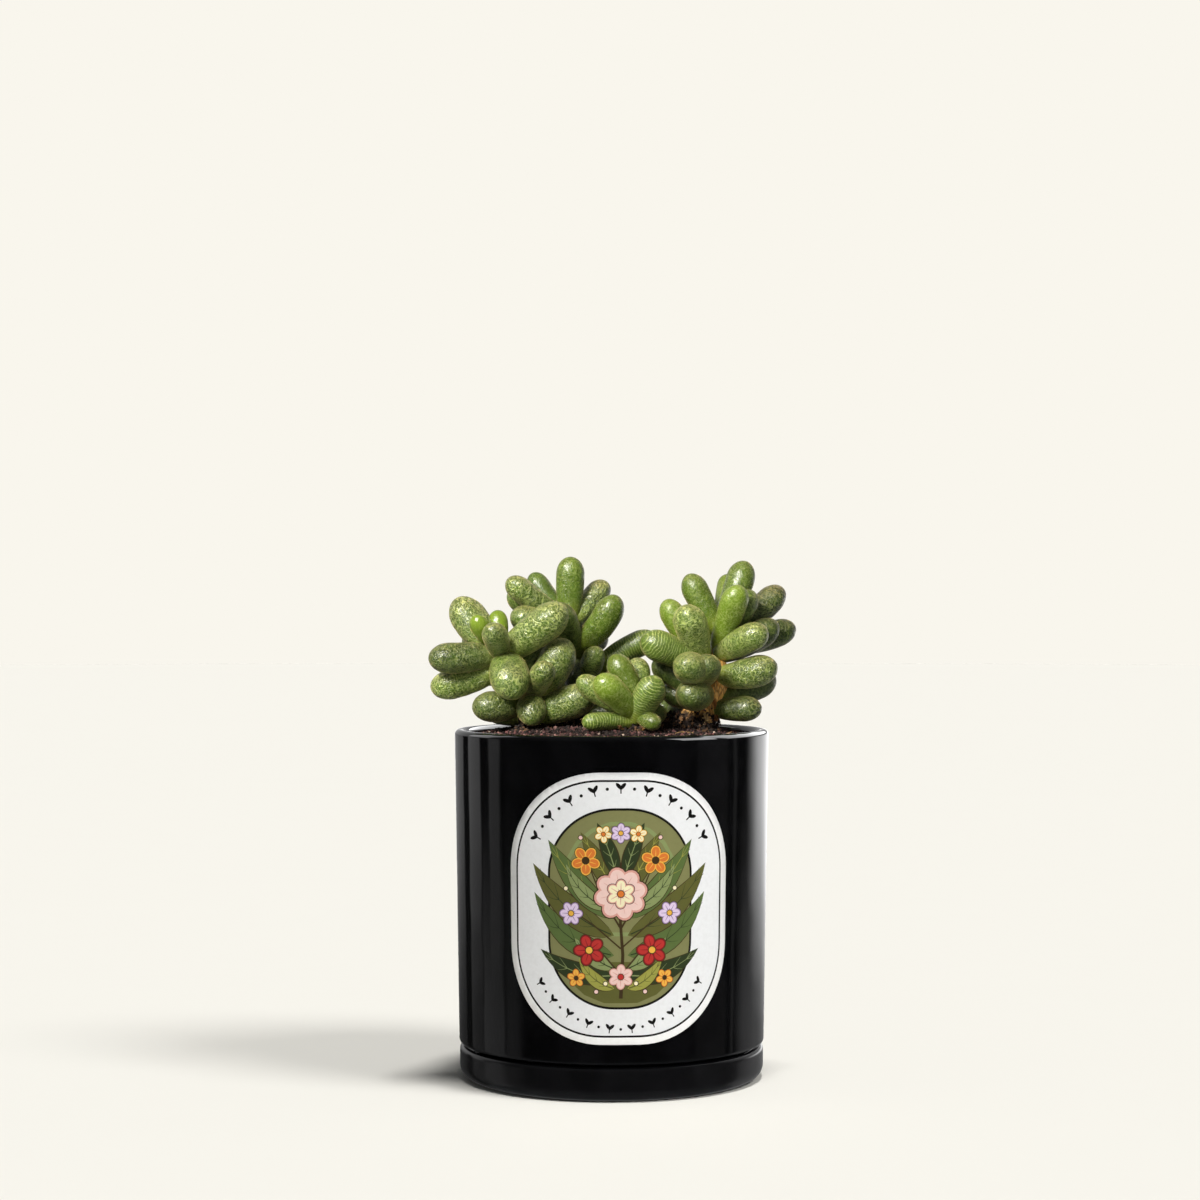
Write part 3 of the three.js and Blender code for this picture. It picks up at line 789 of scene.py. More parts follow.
class Print:
    """Flat inked shapes on the label, in millimetres from its middle, later ones on top."""

    def __init__(self):
        self.shapes = []

    def fill(self, points, ink):
        """A shape from its corners, turned anticlockwise."""
        x, y = np.array(points).T
        anticlockwise = np.sum(x * np.roll(y, -1) - y * np.roll(x, -1)) > 0
        self.shapes.append((points if anticlockwise else points[::-1], ink))

    def disc(self, x, y, radius, ink, stretch=1.0, turn=0.0, steps=18):
        """A disc, stretched along the direction that turn gives."""
        cos, sin = math.cos(turn), math.sin(turn)
        points = []
        for step in range(steps):
            angle = 2 * math.pi * step / steps
            u, v = radius * math.cos(angle) * stretch, radius * math.sin(angle)
            points.append((x + u * cos - v * sin, y + u * sin + v * cos))
        self.fill(points, ink)

    def stroke(self, path, width, ink, taper=1.0):
        """A line along a path whose far end is taper times as wide."""
        path = np.array(path, float)
        along = unit(np.gradient(path, axis=0))
        across = np.stack([-along[:, 1], along[:, 0]], -1)
        half = width / 2 * np.linspace(1, taper, len(path))[:, None]
        self.fill([tuple(p) for p in path + across * half]
                  + [tuple(p) for p in (path - across * half)[::-1]], ink)

    def leaf(self, x, y, angle, length, width, ink, rib, bend=0.0, veins=4):
        """A lance-shaped leaf from its root, dark at its edge, with a midrib and veins."""
        def place(t, side):
            turn = math.radians(angle) + bend * t
            cx, cy = polar(x, y, length * t, turn)
            return (cx - side * math.sin(turn), cy + side * math.cos(turn))

        def outline(grow):
            steps = np.linspace(0.0, 1.0, 14)
            half = (width / 2 + grow) * np.sin(math.pi * steps ** 0.8) ** 0.9
            upper = [place(t, h) for t, h in zip(steps, half)]
            lower = [place(t, -h) for t, h in zip(steps[1:-1], half[1:-1])]
            return upper + lower[::-1]

        self.fill(outline(0.28), "sepia")
        self.fill(outline(0.0), ink)
        self.stroke([place(t, 0) for t in np.linspace(0.03, 0.92, 8)], 0.4, rib, 0.3)
        for k in range(veins):
            t = 0.2 + 0.6 * k / (veins - 1)
            reach = width * 0.36 * math.sin(math.pi * t ** 0.8)
            for side in (-1, 1):
                vein = [place(t, 0), place(t + 0.05, side * reach * 0.5),
                        place(t + 0.12, side * reach)]
                self.stroke(vein, 0.22, rib, 0.3)

    def flower(self, x, y, radius, petals, ink, edge, eye, turn=0.0):
        """An open flower of round petals with a dotted eye."""
        for ring, tone in ((1.0, "sepia"), (0.9, edge), (0.72, ink)):
            for k in range(petals):
                angle = turn + 2 * math.pi * k / petals
                self.disc(*polar(x, y, radius * 0.56, angle), radius * 0.46 * ring * 0.82,
                          tone, 1.2, angle, 16)
        for k in range(petals):
            angle = turn + 2 * math.pi * k / petals
            line = [polar(x, y, radius * reach, angle) for reach in (0.25, 0.5, 0.72)]
            self.stroke(line, 0.3, edge, 0.3)
        self.disc(x, y, radius * 0.26, "sepia")
        self.disc(x, y, radius * 0.2, eye)


def draw_label():
    """A symmetric spray of leaves and flowers on an olive panel, in a lined white border."""
    art = Print()
    sheet = (LABEL_WIDTH, LABEL_HEIGHT, LABEL_CORNER)
    panel = (PANEL_WIDTH, PANEL_HEIGHT, PANEL_CORNER)
    layers = (
        (sheet, 0, "white"),
        (sheet, BORDER_LINE_START, "black"),
        (sheet, BORDER_LINE_END, "field"),
        (panel, -PANEL_LINE, "black"),
        (panel, 0, "olive"),
    )
    for (width, height, corner), inset, ink in layers:
        art.fill(rounded_rectangle(width - 2 * inset, height - 2 * inset, corner - inset), ink)

    # Rows of leaflets and dots along the arcs above and below the panel: level, number of
    # both together, leaflet size and reach in degrees
    for level, count, size, reach in ((1, 17, 3.8, 64), (-1, 19, 3.2, 60)):
        centre = level * (LABEL_HEIGHT / 2 - LABEL_CORNER - 2)
        for k in range(count):
            angle = math.radians(reach * (2 * k / (count - 1) - 1))
            x = SPRIG_RADIUS * math.sin(angle) * SPRIG_SPREAD
            y = centre + level * SPRIG_RADIUS * math.cos(angle)
            if k % 2:
                art.disc(x, y, size * 0.13, "black")
                continue
            stalk = math.pi / 2 - level * angle
            for lean in (stalk - 0.75, stalk + 0.75):
                art.disc(*polar(x, y, size * 0.22, lean), size * 0.15, "black", 2.3, lean, 14)
            art.stroke([polar(x, y, -size * 0.42, stalk), (x, y)], size * 0.1, "black")

    # Paler and darker ground inside the panel
    art.disc(0, 9, 17.5, "sage")
    art.disc(0, 9, 16.3, "olive")
    ground = [(17, -16), (15.5, -22), (11, -26), (5, -28.4)]
    art.fill([(-17, -16)] + ground + [(-x, y) for x, y in ground[:0:-1]], "moss")

    # Leaves in mirrored pairs, the outer ones reaching over the white field
    pairs = (
        (2, -14, 8, 31, 7.2, "green", "bottle", 0.5),
        (2, -8, 20, 33, 7.6, "moss", "bottle", 0.35),
        (2, -20, -8, 24, 6.0, "bottle", "sage", 0.45),
        (2, -3, 38, 31, 6.8, "green", "lime", 0.2),
        (2, -18, 20, 15, 4.6, "sage", "bottle", 0.3),
        (1, 4, 60, 22, 5.4, "moss", "lime", 0.0),
        (2, -24, 12, 14, 4.0, "lime", "moss", 0.5),
        (1, 9, 76, 18, 4.6, "bottle", "sage", -0.1),
        (3, 0, 16, 19, 4.6, "sage", "bottle", 0.5),
    )
    for x, y, angle, length, width, ink, rib, bend in pairs:
        art.leaf(x, y, angle, length, width, ink, rib, bend)
        art.leaf(-x, y, 180 - angle, length, width, ink, rib, -bend)
    art.stroke([(0, -27), (0.6, -14), (-0.4, 0), (0, 14)], 1.1, "sepia", 0.6)

    # Twigs, flowers and berries on both sides, and the flowers in the middle
    twigs = (
        (((0, -20), (5, -14), (9, -10)), 0.6),
        (((0, -6), (6, 4), (9.5, 13)), 0.6),
        (((0, -12), (8, -5), (14, -1)), 0.5),
    )
    flowers = (
        (10.5, 14.5, 4.6, 5, "orange", "gold", "sepia", 0.3),
        (15, -1.5, 3.8, 6, "lilac", "violet", "gold", 0.0),
        (9.5, -12.5, 5.0, 5, "red", "wine", "gold", 0.6),
        (13.5, -21, 2.9, 5, "gold", "orange", "sepia", 0.9),
        (5.2, 22.5, 2.8, 5, "cream", "gold", "orange", 0.2),
    )
    berries = ((4.6, -22.5), (7.4, -25), (6.4, 6), (16.6, 6), (12, 21.4))
    for side in (-1, 1):
        for path, width in twigs:
            art.stroke([(side * x, y) for x, y in path], width, "sepia", 0.6)
        for x, y, radius, petals, ink, edge, eye, turn in flowers:
            art.flower(side * x, y, radius, petals, ink, edge, eye, turn * side)
        for k, (x, y) in enumerate(berries):
            art.disc(side * x, y, 0.85, "sepia", steps=10)
            art.disc(side * x, y, 0.6, ("cream", "rose", "gold")[k % 3], steps=10)
    art.flower(0, 22.8, 3.2, 6, "lilac", "violet", "gold", 0.5)
    art.flower(0, 4.5, 8.4, 8, "rose", "blush", "gold", 0.2)
    art.flower(0, 4.5, 4.6, 6, "cream", "blush", "orange", 0.5)
    art.flower(0, -20.5, 4.0, 6, "rose", "blush", "red", 0.5)
    return art.shapes


def make_label():
    """The bent sheet with the inked shapes cut into its front face."""
    shapes = draw_label()
    points, borders, areas = [], [], []
    for shape, _ in shapes:
        first = len(points)
        points.extend(shape)
        area = list(range(first, len(points)))
        areas.append(area)
        borders.extend(zip(area, area[1:] + area[:1]))
    # Upright lines across the sheet, so that its faces follow the bend
    outline = shapes[0][0]
    edge = np.array(outline + outline[:1])
    for x in np.arange(-LABEL_WIDTH / 2 + FOLD_SPACING, LABEL_WIDTH / 2, FOLD_SPACING):
        crossing = []
        for a, b in zip(edge, edge[1:]):
            if (a[0] - x) * (b[0] - x) < 0:
                crossing.append((x, a[1] + (b[1] - a[1]) * (x - a[0]) / (b[0] - a[0])))
        if len(crossing) == 2:
            borders.append((len(points), len(points) + 1))
            points.extend((x, y * FOLD_REACH) for x, y in crossing)
    cut = geometry.delaunay_2d_cdt([Vector(p) for p in points], borders, areas, 0, MERGE_REACH)
    flat, triangles, owners = np.array([tuple(v) for v in cut[0]]), cut[2], cut[5]
    # Triangles within the outline, each with the number of its topmost shape
    kept = [(t, max(o)) for t, o in zip(triangles, owners) if 0 in o]
    front = [t for t, _ in kept]
    inks = [INK[shapes[top][1]] for _, top in kept]

    count = len(flat)
    angle = flat[:, 0] / wall_radius(LABEL_MIDDLE) + LABEL_TURN
    height = LABEL_MIDDLE + flat[:, 1]
    layers = []
    for lift in (LABEL_THICKNESS, 0.0):
        radius = wall_radius(height) + LABEL_GAP + lift
        layers.append(np.stack([radius * np.sin(angle), -radius * np.cos(angle), height], -1))
    edges = dict.fromkeys(edge for face in front for edge in zip(face, face[1:] + face[:1]))
    rim = [(a, b) for a, b in edges if (b, a) not in edges]
    back = [[count + v for v in reversed(face)] for face in front]
    sides = [(b, a, count + a, count + b) for a, b in rim]
    faces = front + back + sides
    inks += [INK["white"]] * (len(back) + len(sides))
    label = object_piece("printed_label", "label", np.vstack(layers), faces, [paper()], "label")
    mesh = label.data
    mesh.polygons.foreach_set("use_smooth", np.arange(len(faces)) < 2 * len(front))
    mesh.attributes.new("ink", "FLOAT_COLOR", "FACE").data.foreach_set(
        "color", np.array(inks, np.float32).ravel())


# Leafy stems

def stem_curve(path, steps=STEM_STEPS):
    """Points and radii along a smooth curve through the path."""
    path = np.array(path, float)
    ends = np.vstack([2 * path[0] - path[1], path, 2 * path[-1] - path[-2]])
    points, radii = [], []
    for i in range(1, len(ends) - 2):
        a, b, c, d = ends[i - 1:i + 3]
        for u in np.linspace(0, 1, steps, endpoint=False):
            curve = 2 * b + (c - a) * u + (2 * a - 5 * b + 4 * c - d) * u ** 2
            curve = 0.5 * (curve + (3 * b - a - 3 * c + d) * u ** 3)
            points.append(curve[:3])
            radii.append(b[3] + (c[3] - b[3]) * u)
    points.append(path[-1, :3])
    radii.append(path[-1, 3])
    return np.array(points), np.array(radii)


def tube(centre, half, sides, flatness=1.0):
    """Points round a curve, row by row, with each row's own sideways and upward axes."""
    span = unit(centre[-1] - centre[0])
    reference = (0, 0, 1) if abs(span[2]) < STEEP else (0, -1, 0)
    tangent = unit(np.gradient(centre, axis=0))
    side = unit(np.cross(tangent, reference))
    top = np.cross(side, tangent)
    angles = np.linspace(0, 2 * math.pi, sides, endpoint=False)
    cos, sin = np.cos(angles), np.sin(angles)
    across = half[:, None] * cos
    upward = half[:, None] * sin * flatness
    points = centre[:, None] + across[..., None] * side[:, None] + upward[..., None] * top[:, None]
    outward = cos[:, None] * side[:, None] + sin[:, None] * top[:, None]
    return points, outward, across, upward


def capped(rows, outward, swell, start, end):
    """All points of a tube that swells outward, and then those of its two ends."""
    flat = rows.reshape(-1, 3) + outward.reshape(-1, 3) * swell[:, None]
    return np.vstack([flat, start, end])


def closed_tube(rows, sides):
    """Faces of a tube with a point at each end after its rows."""
    faces = grid_faces(rows, sides)
    start, end, last = rows * sides, rows * sides + 1, (rows - 1) * sides
    for column in range(sides):
        right = (column + 1) % sides
        faces.append((start, right, column))
        faces.append((end, last + column, last + right))
    return faces


def leaf_girth(t, end_start):
    """Half the leaf's width along it: slim at the root, full where its round end begins."""
    rise = np.sin(math.pi / 2 * np.clip(t / end_start, 0, 1)) ** LEAF_RISE
    past = np.clip((t - end_start) / (1 - end_start), 0, 1)
    return np.where(t < end_start, LEAF_NECK + (1 - LEAF_NECK) * rise, np.sqrt(1 - past * past))


def leaf_stations(end_start):
    """Where the rows of a leaf lie along it, closest together at its tip."""
    lower = np.linspace(0, end_start, LEAF_BODY_ROWS, endpoint=False)
    upper = np.sin(np.linspace(0, math.pi / 2, LEAF_END_ROWS, endpoint=False))
    return np.concatenate([lower, end_start + (1 - end_start) * upper, [LEAF_LAST_ROW]])


def grow_leaf(growth, root, row, random):
    """One plump leaf from its root on the stem to its tip."""
    _, x, y, z, width, sag, look = row
    tip = np.array([x, y, z], float)
    span = tip - root
    along = unit(span)
    hang = np.array([0, 0, 1.0]) - along * along[2]
    length = np.linalg.norm(span)
    end_start = 1 - min(LEAF_END * width / length, LEAF_END_MOST)
    t = leaf_stations(end_start)
    centre = root + span * t[:, None] - hang * (sag * 4 * t * (1 - t))[:, None]
    girth = leaf_girth(t, end_start)
    rows, outward, across, upward = tube(centre, girth * width / 2, LEAF_SIDES, LEAF_FLATNESS)
    flat = rows.reshape(-1, 3)
    seed = random.integers(1, 1000)
    swell = sum(share * width * ripple(flat, reach, seed + step)
                for share, reach, step in LEAF_SWELLS)
    swell *= np.repeat(np.clip(girth * 1.1, 0.2, 1), LEAF_SIDES)
    shift = random.uniform(0, 400, 3)
    place = np.stack([across, np.repeat(t[:, None] * length, LEAF_SIDES, 1), upward], -1)
    place = np.vstack([place.reshape(-1, 3), [[0, 0, 0], [0, length, 0]]]) + shift
    youth, tan, rings, net, light = LOOKS[look]
    # Painted light and shade of the whole leaf, a little different on each
    light += random.uniform(-LEAF_CHANCE, LEAF_CHANCE)
    growth.add(
        capped(rows, outward, swell, centre[:1], tip[None]),
        closed_tube(len(t), LEAF_SIDES),
        leaf_place=place,
        leaf_along=np.append(np.repeat(t, LEAF_SIDES), [0, 1]),
        leaf_age=(youth, tan, rings),
        leaf_skin=(net, light, random.uniform(0, 1)),
    )


def grow_stem(growth, path, seed):
    """A bare stem with fibrous bark, gnarled where it is thick."""
    centre, radii = stem_curve(path)
    rows, outward, _, _ = tube(centre, radii, STEM_SIDES)
    flat = rows.reshape(-1, 3)
    ridges = ripple(flat * (1, 1, 0.25), 1.3, seed)
    knots = ripple(flat, 4.5, seed + 1)
    swell = np.repeat(radii, STEM_SIDES) * (0.07 * ridges + 0.09 * knots)
    points = capped(rows, outward, swell, centre[:1], centre[-1:])
    growth.add(points, closed_tube(len(centre), STEM_SIDES), 1, leaf_place=points,
               leaf_along=0, leaf_age=(0, 0, 0), leaf_skin=(0, 0, 0))


def make_stems(skin, wood):
    """Every stem with its leaves, one piece for each stem of the solid model."""
    for number, (name, branches) in enumerate(STEMS.items()):
        random = np.random.default_rng(SEED + number)
        growth = Gathered()
        for path, leaves in branches:
            grow_stem(growth, path, STEM_SEED + number)
            fine, _ = stem_curve(path, ROOT_STEPS)
            for row in leaves:
                root = fine[np.argmax(fine[:, 2] >= row[0])]
                grow_leaf(growth, root, row, random)
        growth.finish(name.replace("stem", "sedum"), "leaf", [skin, wood], name)


# Soil and what lies on it

SOIL_EDGE_RADIUS = inner_radius(SOIL_EDGE_HEIGHT) - WALL_GAP


def soil_height(radius):
    """Height of the mounded soil at a distance from the axis."""
    return SOIL_EDGE_HEIGHT + SOIL_MOUND * (1 - (radius / SOIL_EDGE_RADIUS) ** 4)


def make_soil():
    """The soil body with an uneven top."""
    radii = list(SOIL_EDGE_RADIUS * np.concatenate([[0.02], np.linspace(0.03, 1, SOIL_RINGS)]))
    heights = list(soil_height(np.array(radii)))
    top = len(radii) * SOIL_SIDES
    radii += [POT_INNER_BEND_RADIUS - WALL_GAP, POT_INNER_BOTTOM_RADIUS - WALL_GAP, 0.5]
    heights += [POT_INNER_BEND_HEIGHT, POT_FLOOR_HEIGHT + WALL_GAP, POT_FLOOR_HEIGHT + WALL_GAP]
    points = around(radii, heights, SOIL_SIDES)
    inward = smoothstep(0, 3, SOIL_EDGE_RADIUS - np.hypot(points[:top, 0], points[:top, 1]))
    lumps = 0.55 * ripple(points[:top], 5.0, 3) + 0.3 * ripple(points[:top], 1.7, 4)
    points[:top, 2] += lumps * (0.3 + 0.7 * inward) - SOIL_SINK
    points = np.vstack([points, [[0, 0, points[0, 2]], [0, 0, heights[-1]]]])
    faces = [f[::-1] for f in closed_tube(len(radii), SOIL_SIDES)]
    object_piece("soil_bed", "soil", points, faces, [earth()], "soil")


def crumb_shape():
    """The corners and faces of a 20-sided crumb."""
    golden = (1 + 5 ** 0.5) / 2
    corners = []
    for a in (-1, 1):
        for b in (-golden, golden):
            corners += [(0, a, b), (a, b, 0), (b, 0, a)]
    corners = np.array(corners) / math.hypot(1, golden)
    faces = []
    for i, j, k in combinations(range(len(corners)), 3):
        a, b, c = corners[[i, j, k]]
        if max(np.linalg.norm(a - b), np.linalg.norm(b - c), np.linalg.norm(a - c)) < 1.1:
            flip = np.cross(b - a, c - a) @ a < 0
            faces.append((i, k, j) if flip else (i, j, k))
    return corners, faces


CRUMB_COUNT = 6700
STUCK_COUNT = 400
STUCK_FROM = 108.5
STUCK_RISE = 8.5

# Share and tone of the crumbs
GRIT = (
    (0.56, linear(38, 26, 23)),
    (0.2, linear(78, 50, 46)),
    (0.15, linear(118, 76, 74)),
    (0.06, linear(150, 112, 104)),
    (0.03, linear(196, 174, 156)),
)
# Tones of the crumbs heaped round the stems, mostly very dark: painted shade under the leaves
HEAP_PAINTED_SHADE_TONES = (linear(24, 17, 13), linear(36, 25, 19), linear(30, 22, 16), linear(84, 60, 40))


def scatter_crumbs(places, sizes, tones_with_painted_shade, random):
    """Rough crumbs of those sizes and tones at those places."""
    grit = Gathered()
    corners, faces = crumb_shape()
    for place, size, tone in zip(places, sizes, tones_with_painted_shade):
        stretch = random.uniform(0.65, 1.2, 3)
        turn = np.linalg.qr(random.normal(size=(3, 3)))[0]
        if np.linalg.det(turn) < 0:
            turn[0] *= -1
        wobble = random.uniform(0.8, 1.15, (len(corners), 1))
        points = (corners * wobble * stretch) @ turn * size / 2 + place
        grit.add(points, faces, crumb_tone=np.array(tone[:3]) * random.uniform(0.8, 1.2))
    return grit


def pick_tones(count, random):
    """Tones for that many crumbs, drawn by their shares."""
    shares = np.array([share for share, _ in GRIT])
    chosen = random.choice(len(GRIT), count, p=shares / shares.sum())
    return [GRIT[k][1] for k in chosen]


# Small heaps of soil round the stems: middle x and y, reach, height and number of crumbs
HEAPS = (
    (20.5, -6, 7.5, 5.2, 620),
    (28, -11, 6.5, 3.4, 260),
    (-25, -12, 6.5, 2.6, 260),
    (-10, 2, 9, 3.6, 620),
    (7, -24, 5, 2.4, 160),
)


def make_grit(stuff):
    """Loose crumbs all over the soil, and more in heaps and clinging to the stump's foot."""
    random = np.random.default_rng(SEED + 50)
    sizes = np.clip(random.lognormal(-0.25, 0.3, CRUMB_COUNT), 0.4, 1.8)
    radius = (SOIL_EDGE_RADIUS - sizes * 0.55) * np.sqrt(random.uniform(0, 1, CRUMB_COUNT))
    angle = random.uniform(0, 2 * math.pi, CRUMB_COUNT)
    height = soil_height(radius) + random.uniform(-0.25, 0.3, CRUMB_COUNT)
    places = np.stack([radius * np.cos(angle), radius * np.sin(angle), height], -1)
    # Painted shade: crumbs within 41 mm of the axis are darkened, down to 0.4 of their tone inside
    # 30 mm
    painted_shade_inward = 0.4 + 0.6 * smoothstep(30, 41, radius)
    tones_with_painted_shade = [np.array(tone[:3]) * share
             for tone, share in zip(pick_tones(CRUMB_COUNT, random), painted_shade_inward)]

    centre, radii = stem_curve(STEMS["stem_right"][0][0])
    stuck, stuck_sizes = [], []
    for _ in range(STUCK_COUNT):
        height = STUCK_FROM + STUCK_RISE * random.uniform(0, 1) ** 1.6
        row = np.argmax(centre[:, 2] >= height)
        turn = random.uniform(0, 2 * math.pi)
        size = random.uniform(0.45, 1.3)
        reach = radii[row] + 0.15 * size
        stuck.append(centre[row] + np.array([math.cos(turn), math.sin(turn), 0]) * reach)
        stuck_sizes.append(size)
    tones_with_painted_shade += pick_tones(len(stuck), random)
    for x, y, reach, rise, number in HEAPS:
        away = reach * np.sqrt(random.uniform(0, 1, number))
        turn = random.uniform(0, 2 * math.pi, number)
        spots = np.stack([x + away * np.cos(turn), y + away * np.sin(turn)], -1)
        floor = soil_height(np.hypot(spots[:, 0], spots[:, 1]))
        top = rise * (1 - (away / reach) ** 2)
        heights = floor + top * random.uniform(0.15, 1, number) ** 0.6
        stuck.extend(np.column_stack([spots, heights]))
        stuck_sizes.extend(random.uniform(0.5, 1.5, number))
        tones_with_painted_shade += [HEAP_PAINTED_SHADE_TONES[k] for k in random.integers(0, len(HEAP_PAINTED_SHADE_TONES), number)]
    places = np.vstack([places, stuck])
    sizes = np.append(sizes, stuck_sizes)
    scatter_crumbs(places, sizes, tones_with_painted_shade, random).finish("soil_crumbs", "soil", [stuff])


FLAKE_GRID = (13, 9)
FLAKE_HALF = 0.07


def curled_flake(root, heading, pitch, length, width, curl, random):
    """A thin ragged flake: two skins of a curved strip, joined round the edge."""
    rows, columns = FLAKE_GRID
    forward = np.array([math.cos(heading) * math.cos(pitch), math.sin(heading) * math.cos(pitch),
                        math.sin(pitch)])
    side = unit(np.cross(forward, (0, 0, 1)))
    upward = np.cross(side, forward)
    wave = random.uniform(0, 6)
    ragged = random.uniform(0.45, 1.15, (rows, 2))
    skins = []
    for lift in (FLAKE_HALF, -FLAKE_HALF):
        for row in range(rows):
            t = row / (rows - 1)
            half = width / 2 * (0.35 + 0.65 * math.sin(math.pi * (0.1 + 0.8 * t)))
            for column in range(columns):
                s = 2 * column / (columns - 1) - 1
                across = s * half * ragged[row, int(s > 0)]
                height = curl * (t * t * length * 0.4 + abs(s) * half * 0.5)
                height += 0.22 * math.sin(wave + 11 * t + 4 * s) + 0.12 * math.sin(23 * t - 7 * s)
                reach = t * length + 0.25 * math.sin(wave + 6 * s)
                skins.append(root + forward * reach + side * across + upward * (height + lift))
    faces = []
    half_count = rows * columns
    for row in range(rows - 1):
        for column in range(columns - 1):
            first = row * columns + column
            quad = (first, first + 1, first + columns + 1, first + columns)
            faces.append(quad)
            faces.append(tuple(half_count + v for v in reversed(quad)))
    grid = np.arange(half_count).reshape(rows, columns)
    loop = [*grid[0], *grid[1:, -1], *grid[-1, -2::-1], *grid[-2:0:-1, 0]]
    for a, b in zip(loop, loop[1:] + loop[:1]):
        faces.append((b, a, half_count + a, half_count + b))
    return np.array(skins), faces


# Path and radius of each dry twig
TWIGS = (
    ([(-12, -26, 109.6), (-8, -24, 110.6), (-4, -22, 112.8), (-1, -21, 115.2)], 0.45),
    ([(-9, -27, 109.8), (-5, -26, 110.4), (0, -27, 110.2)], 0.4),
    ([(-10, -22, 109.8), (-7, -24.5, 111.4), (-6, -26, 113.4)], 0.35),
    ([(-3, -17, 110), (1, -19, 111), (4, -21.5, 112.5)], 0.4),
    ([(18, -28, 109.8), (22, -25, 110.6), (26, -24, 110.2)], 0.4),
    ([(-30, 26, 109.4), (-24, 22, 110.2), (-19, 22, 109.9)], 0.45),
    ([(30, 22, 109.4), (25, 27, 110.2), (18, 28, 109.9)], 0.4),
)

TWIG_TONE = linear(126, 98, 58)

# Root x, y, z, heading and pitch in degrees, length, width, curl and tone
FLAKES = (
    (28.4, -12.6, 111.6, 40, 58, 4.6, 3.6, 0.25, (226, 190, 134)),
    (30.6, -12.4, 111.8, 100, 50, 3.6, 2.6, 0.3, (206, 164, 106)),
    (21.4, -12.2, 112.6, 60, 50, 2.6, 1.6, 0.4, (140, 104, 70)),
    (23.8, -11.6, 114.2, 30, 40, 2.4, 1.4, 0.4, (156, 118, 80)),
    (18.6, -10.2, 112.4, 120, 40, 2.4, 1.5, 0.4, (112, 78, 54)),
    (25.6, -11.8, 112.2, 80, 60, 2.0, 1.2, 0.4, (120, 88, 58)),
    (33.0, -9.8, 113.4, 70, 60, 2.6, 1.5, 0.4, (128, 84, 44)),
    (32.6, -10.0, 117.4, 80, 70, 3.2, 1.2, 0.2, (168, 112, 58)),
    (-8.5, -12.0, 112.4, 250, 20, 3.2, 1.8, 0.6, (140, 114, 76)),
    (3.5, -27.2, 111.2, 240, 20, 3.0, 1.6, 0.5, (136, 98, 60)),
    (9.6, -28.0, 111.4, 300, 35, 2.8, 1.6, 0.6, (150, 108, 62)),
    (-20, 30, 109.8, 80, 15, 4.2, 2.6, 0.5, (170, 140, 96)),
    (20, 34, 109.2, 10, 12, 4.0, 2.4, 0.5, (150, 116, 76)),
    (0, 36, 109.2, 140, 12, 3.8, 2.4, 0.6, (160, 130, 90)),
    (35, -18, 109.2, 350, 12, 2.6, 1.6, 0.5, (140, 104, 70)),
)


def make_litter(stuff):
    """Dry twigs and flakes of old bark on the soil and at the stems."""
    random = np.random.default_rng(SEED + 80)
    litter = Gathered()
    for path, radius in TWIGS:
        centre, _ = stem_curve([(*p, radius) for p in path], TWIG_STEPS)
        half = radius * np.linspace(1, 0.55, len(centre))
        rows, outward, _, _ = tube(centre, half, TWIG_SIDES)
        swell = 0.2 * radius * ripple(rows.reshape(-1, 3), 0.8, 9)
        litter.add(capped(rows, outward, swell, centre[:1], centre[-1:]),
                   closed_tube(len(centre), TWIG_SIDES),
                   crumb_tone=np.array(TWIG_TONE[:3]) * random.uniform(0.7, 1.3))
    for x, y, z, heading, pitch, length, width, curl, tone in FLAKES:
        points, faces = curled_flake(np.array([x, y, z], float), math.radians(heading),
                                     math.radians(pitch), length, width, curl, random)
        litter.add(points, faces, crumb_tone=linear(*tone)[:3])
    litter.finish("dry_litter", "soil", [stuff])


# Stage, lights and camera

BACKGROUND = linear(249, 246, 237)
FLOOR_TONE = tuple(c * 0.86 for c in BACKGROUND[:3]) + (1.0,)
FLOOR_HALF = 6000
DOME_RADIUS = 5500
DOME_SEGMENTS = 64
SURROUND_RADIUS = 1500
LIGHT_AIM = 120 * MM
CAMERA_PLACE = (-3.67 * MM, -840 * MM, 151.6 * MM)
CAMERA_LENS = 78.87


def only_seen_by(made, camera=False, glossy=False):
    """Limits which rays meet a stage object, which casts no shadow."""
    made.visible_camera = camera
    made.visible_glossy = glossy
    made.visible_diffuse = False
    made.visible_transmission = False
    made.visible_volume_scatter = False
    made.visible_shadow = False


def make_floor():
    """A wide plain floor under the saucer."""
    corners = [(x * FLOOR_HALF, y * FLOOR_HALF, 0)
               for x, y in ((-1, -1), (1, -1), (1, 1), (-1, 1))]
    floor = make_mesh("floor", corners, [(0, 1, 2, 3)], [floor_paint()])
    floor.visible_glossy = False
    return floor


def make_backdrop():
    """An even pale dome behind everything, which only the camera sees."""
    outline = [(DOME_RADIUS * math.cos(a), DOME_RADIUS * math.sin(a))
               for a in np.linspace(-1.5, 1.5, 24)]
    points, faces = turned(np.array(outline), DOME_SEGMENTS)
    dome = make_mesh("backdrop", points, faces[:-DOME_SEGMENTS],
                     [emitter("backdrop_light", BACKGROUND)])
    only_seen_by(dome, camera=True)


# What the glaze mirrors, by direction from the front, right positive, in degrees:
# start, end, softness of each edge, light at the top and at the foot
MIRRORED = (
    (-184, -137, 2.0, 0.3, 0.06),
    (-128.5, -110, 1.5, 0.52, 0.12),
    (-102, -87, 3.0, 0.34, 0.24),
    (60, 96, 6.0, 0.08, 0.08),
    (97, 104, 3.0, 0.14, 0.14),
    (-112, -84, 4.0, 0.0, 0.26),
    (-92, -64, 12.0, 0.02, 0.15),
    (100, 150, 16.0, 0.02, 0.3),
    (112, 200, 24.0, 2.0, 0.24),
)


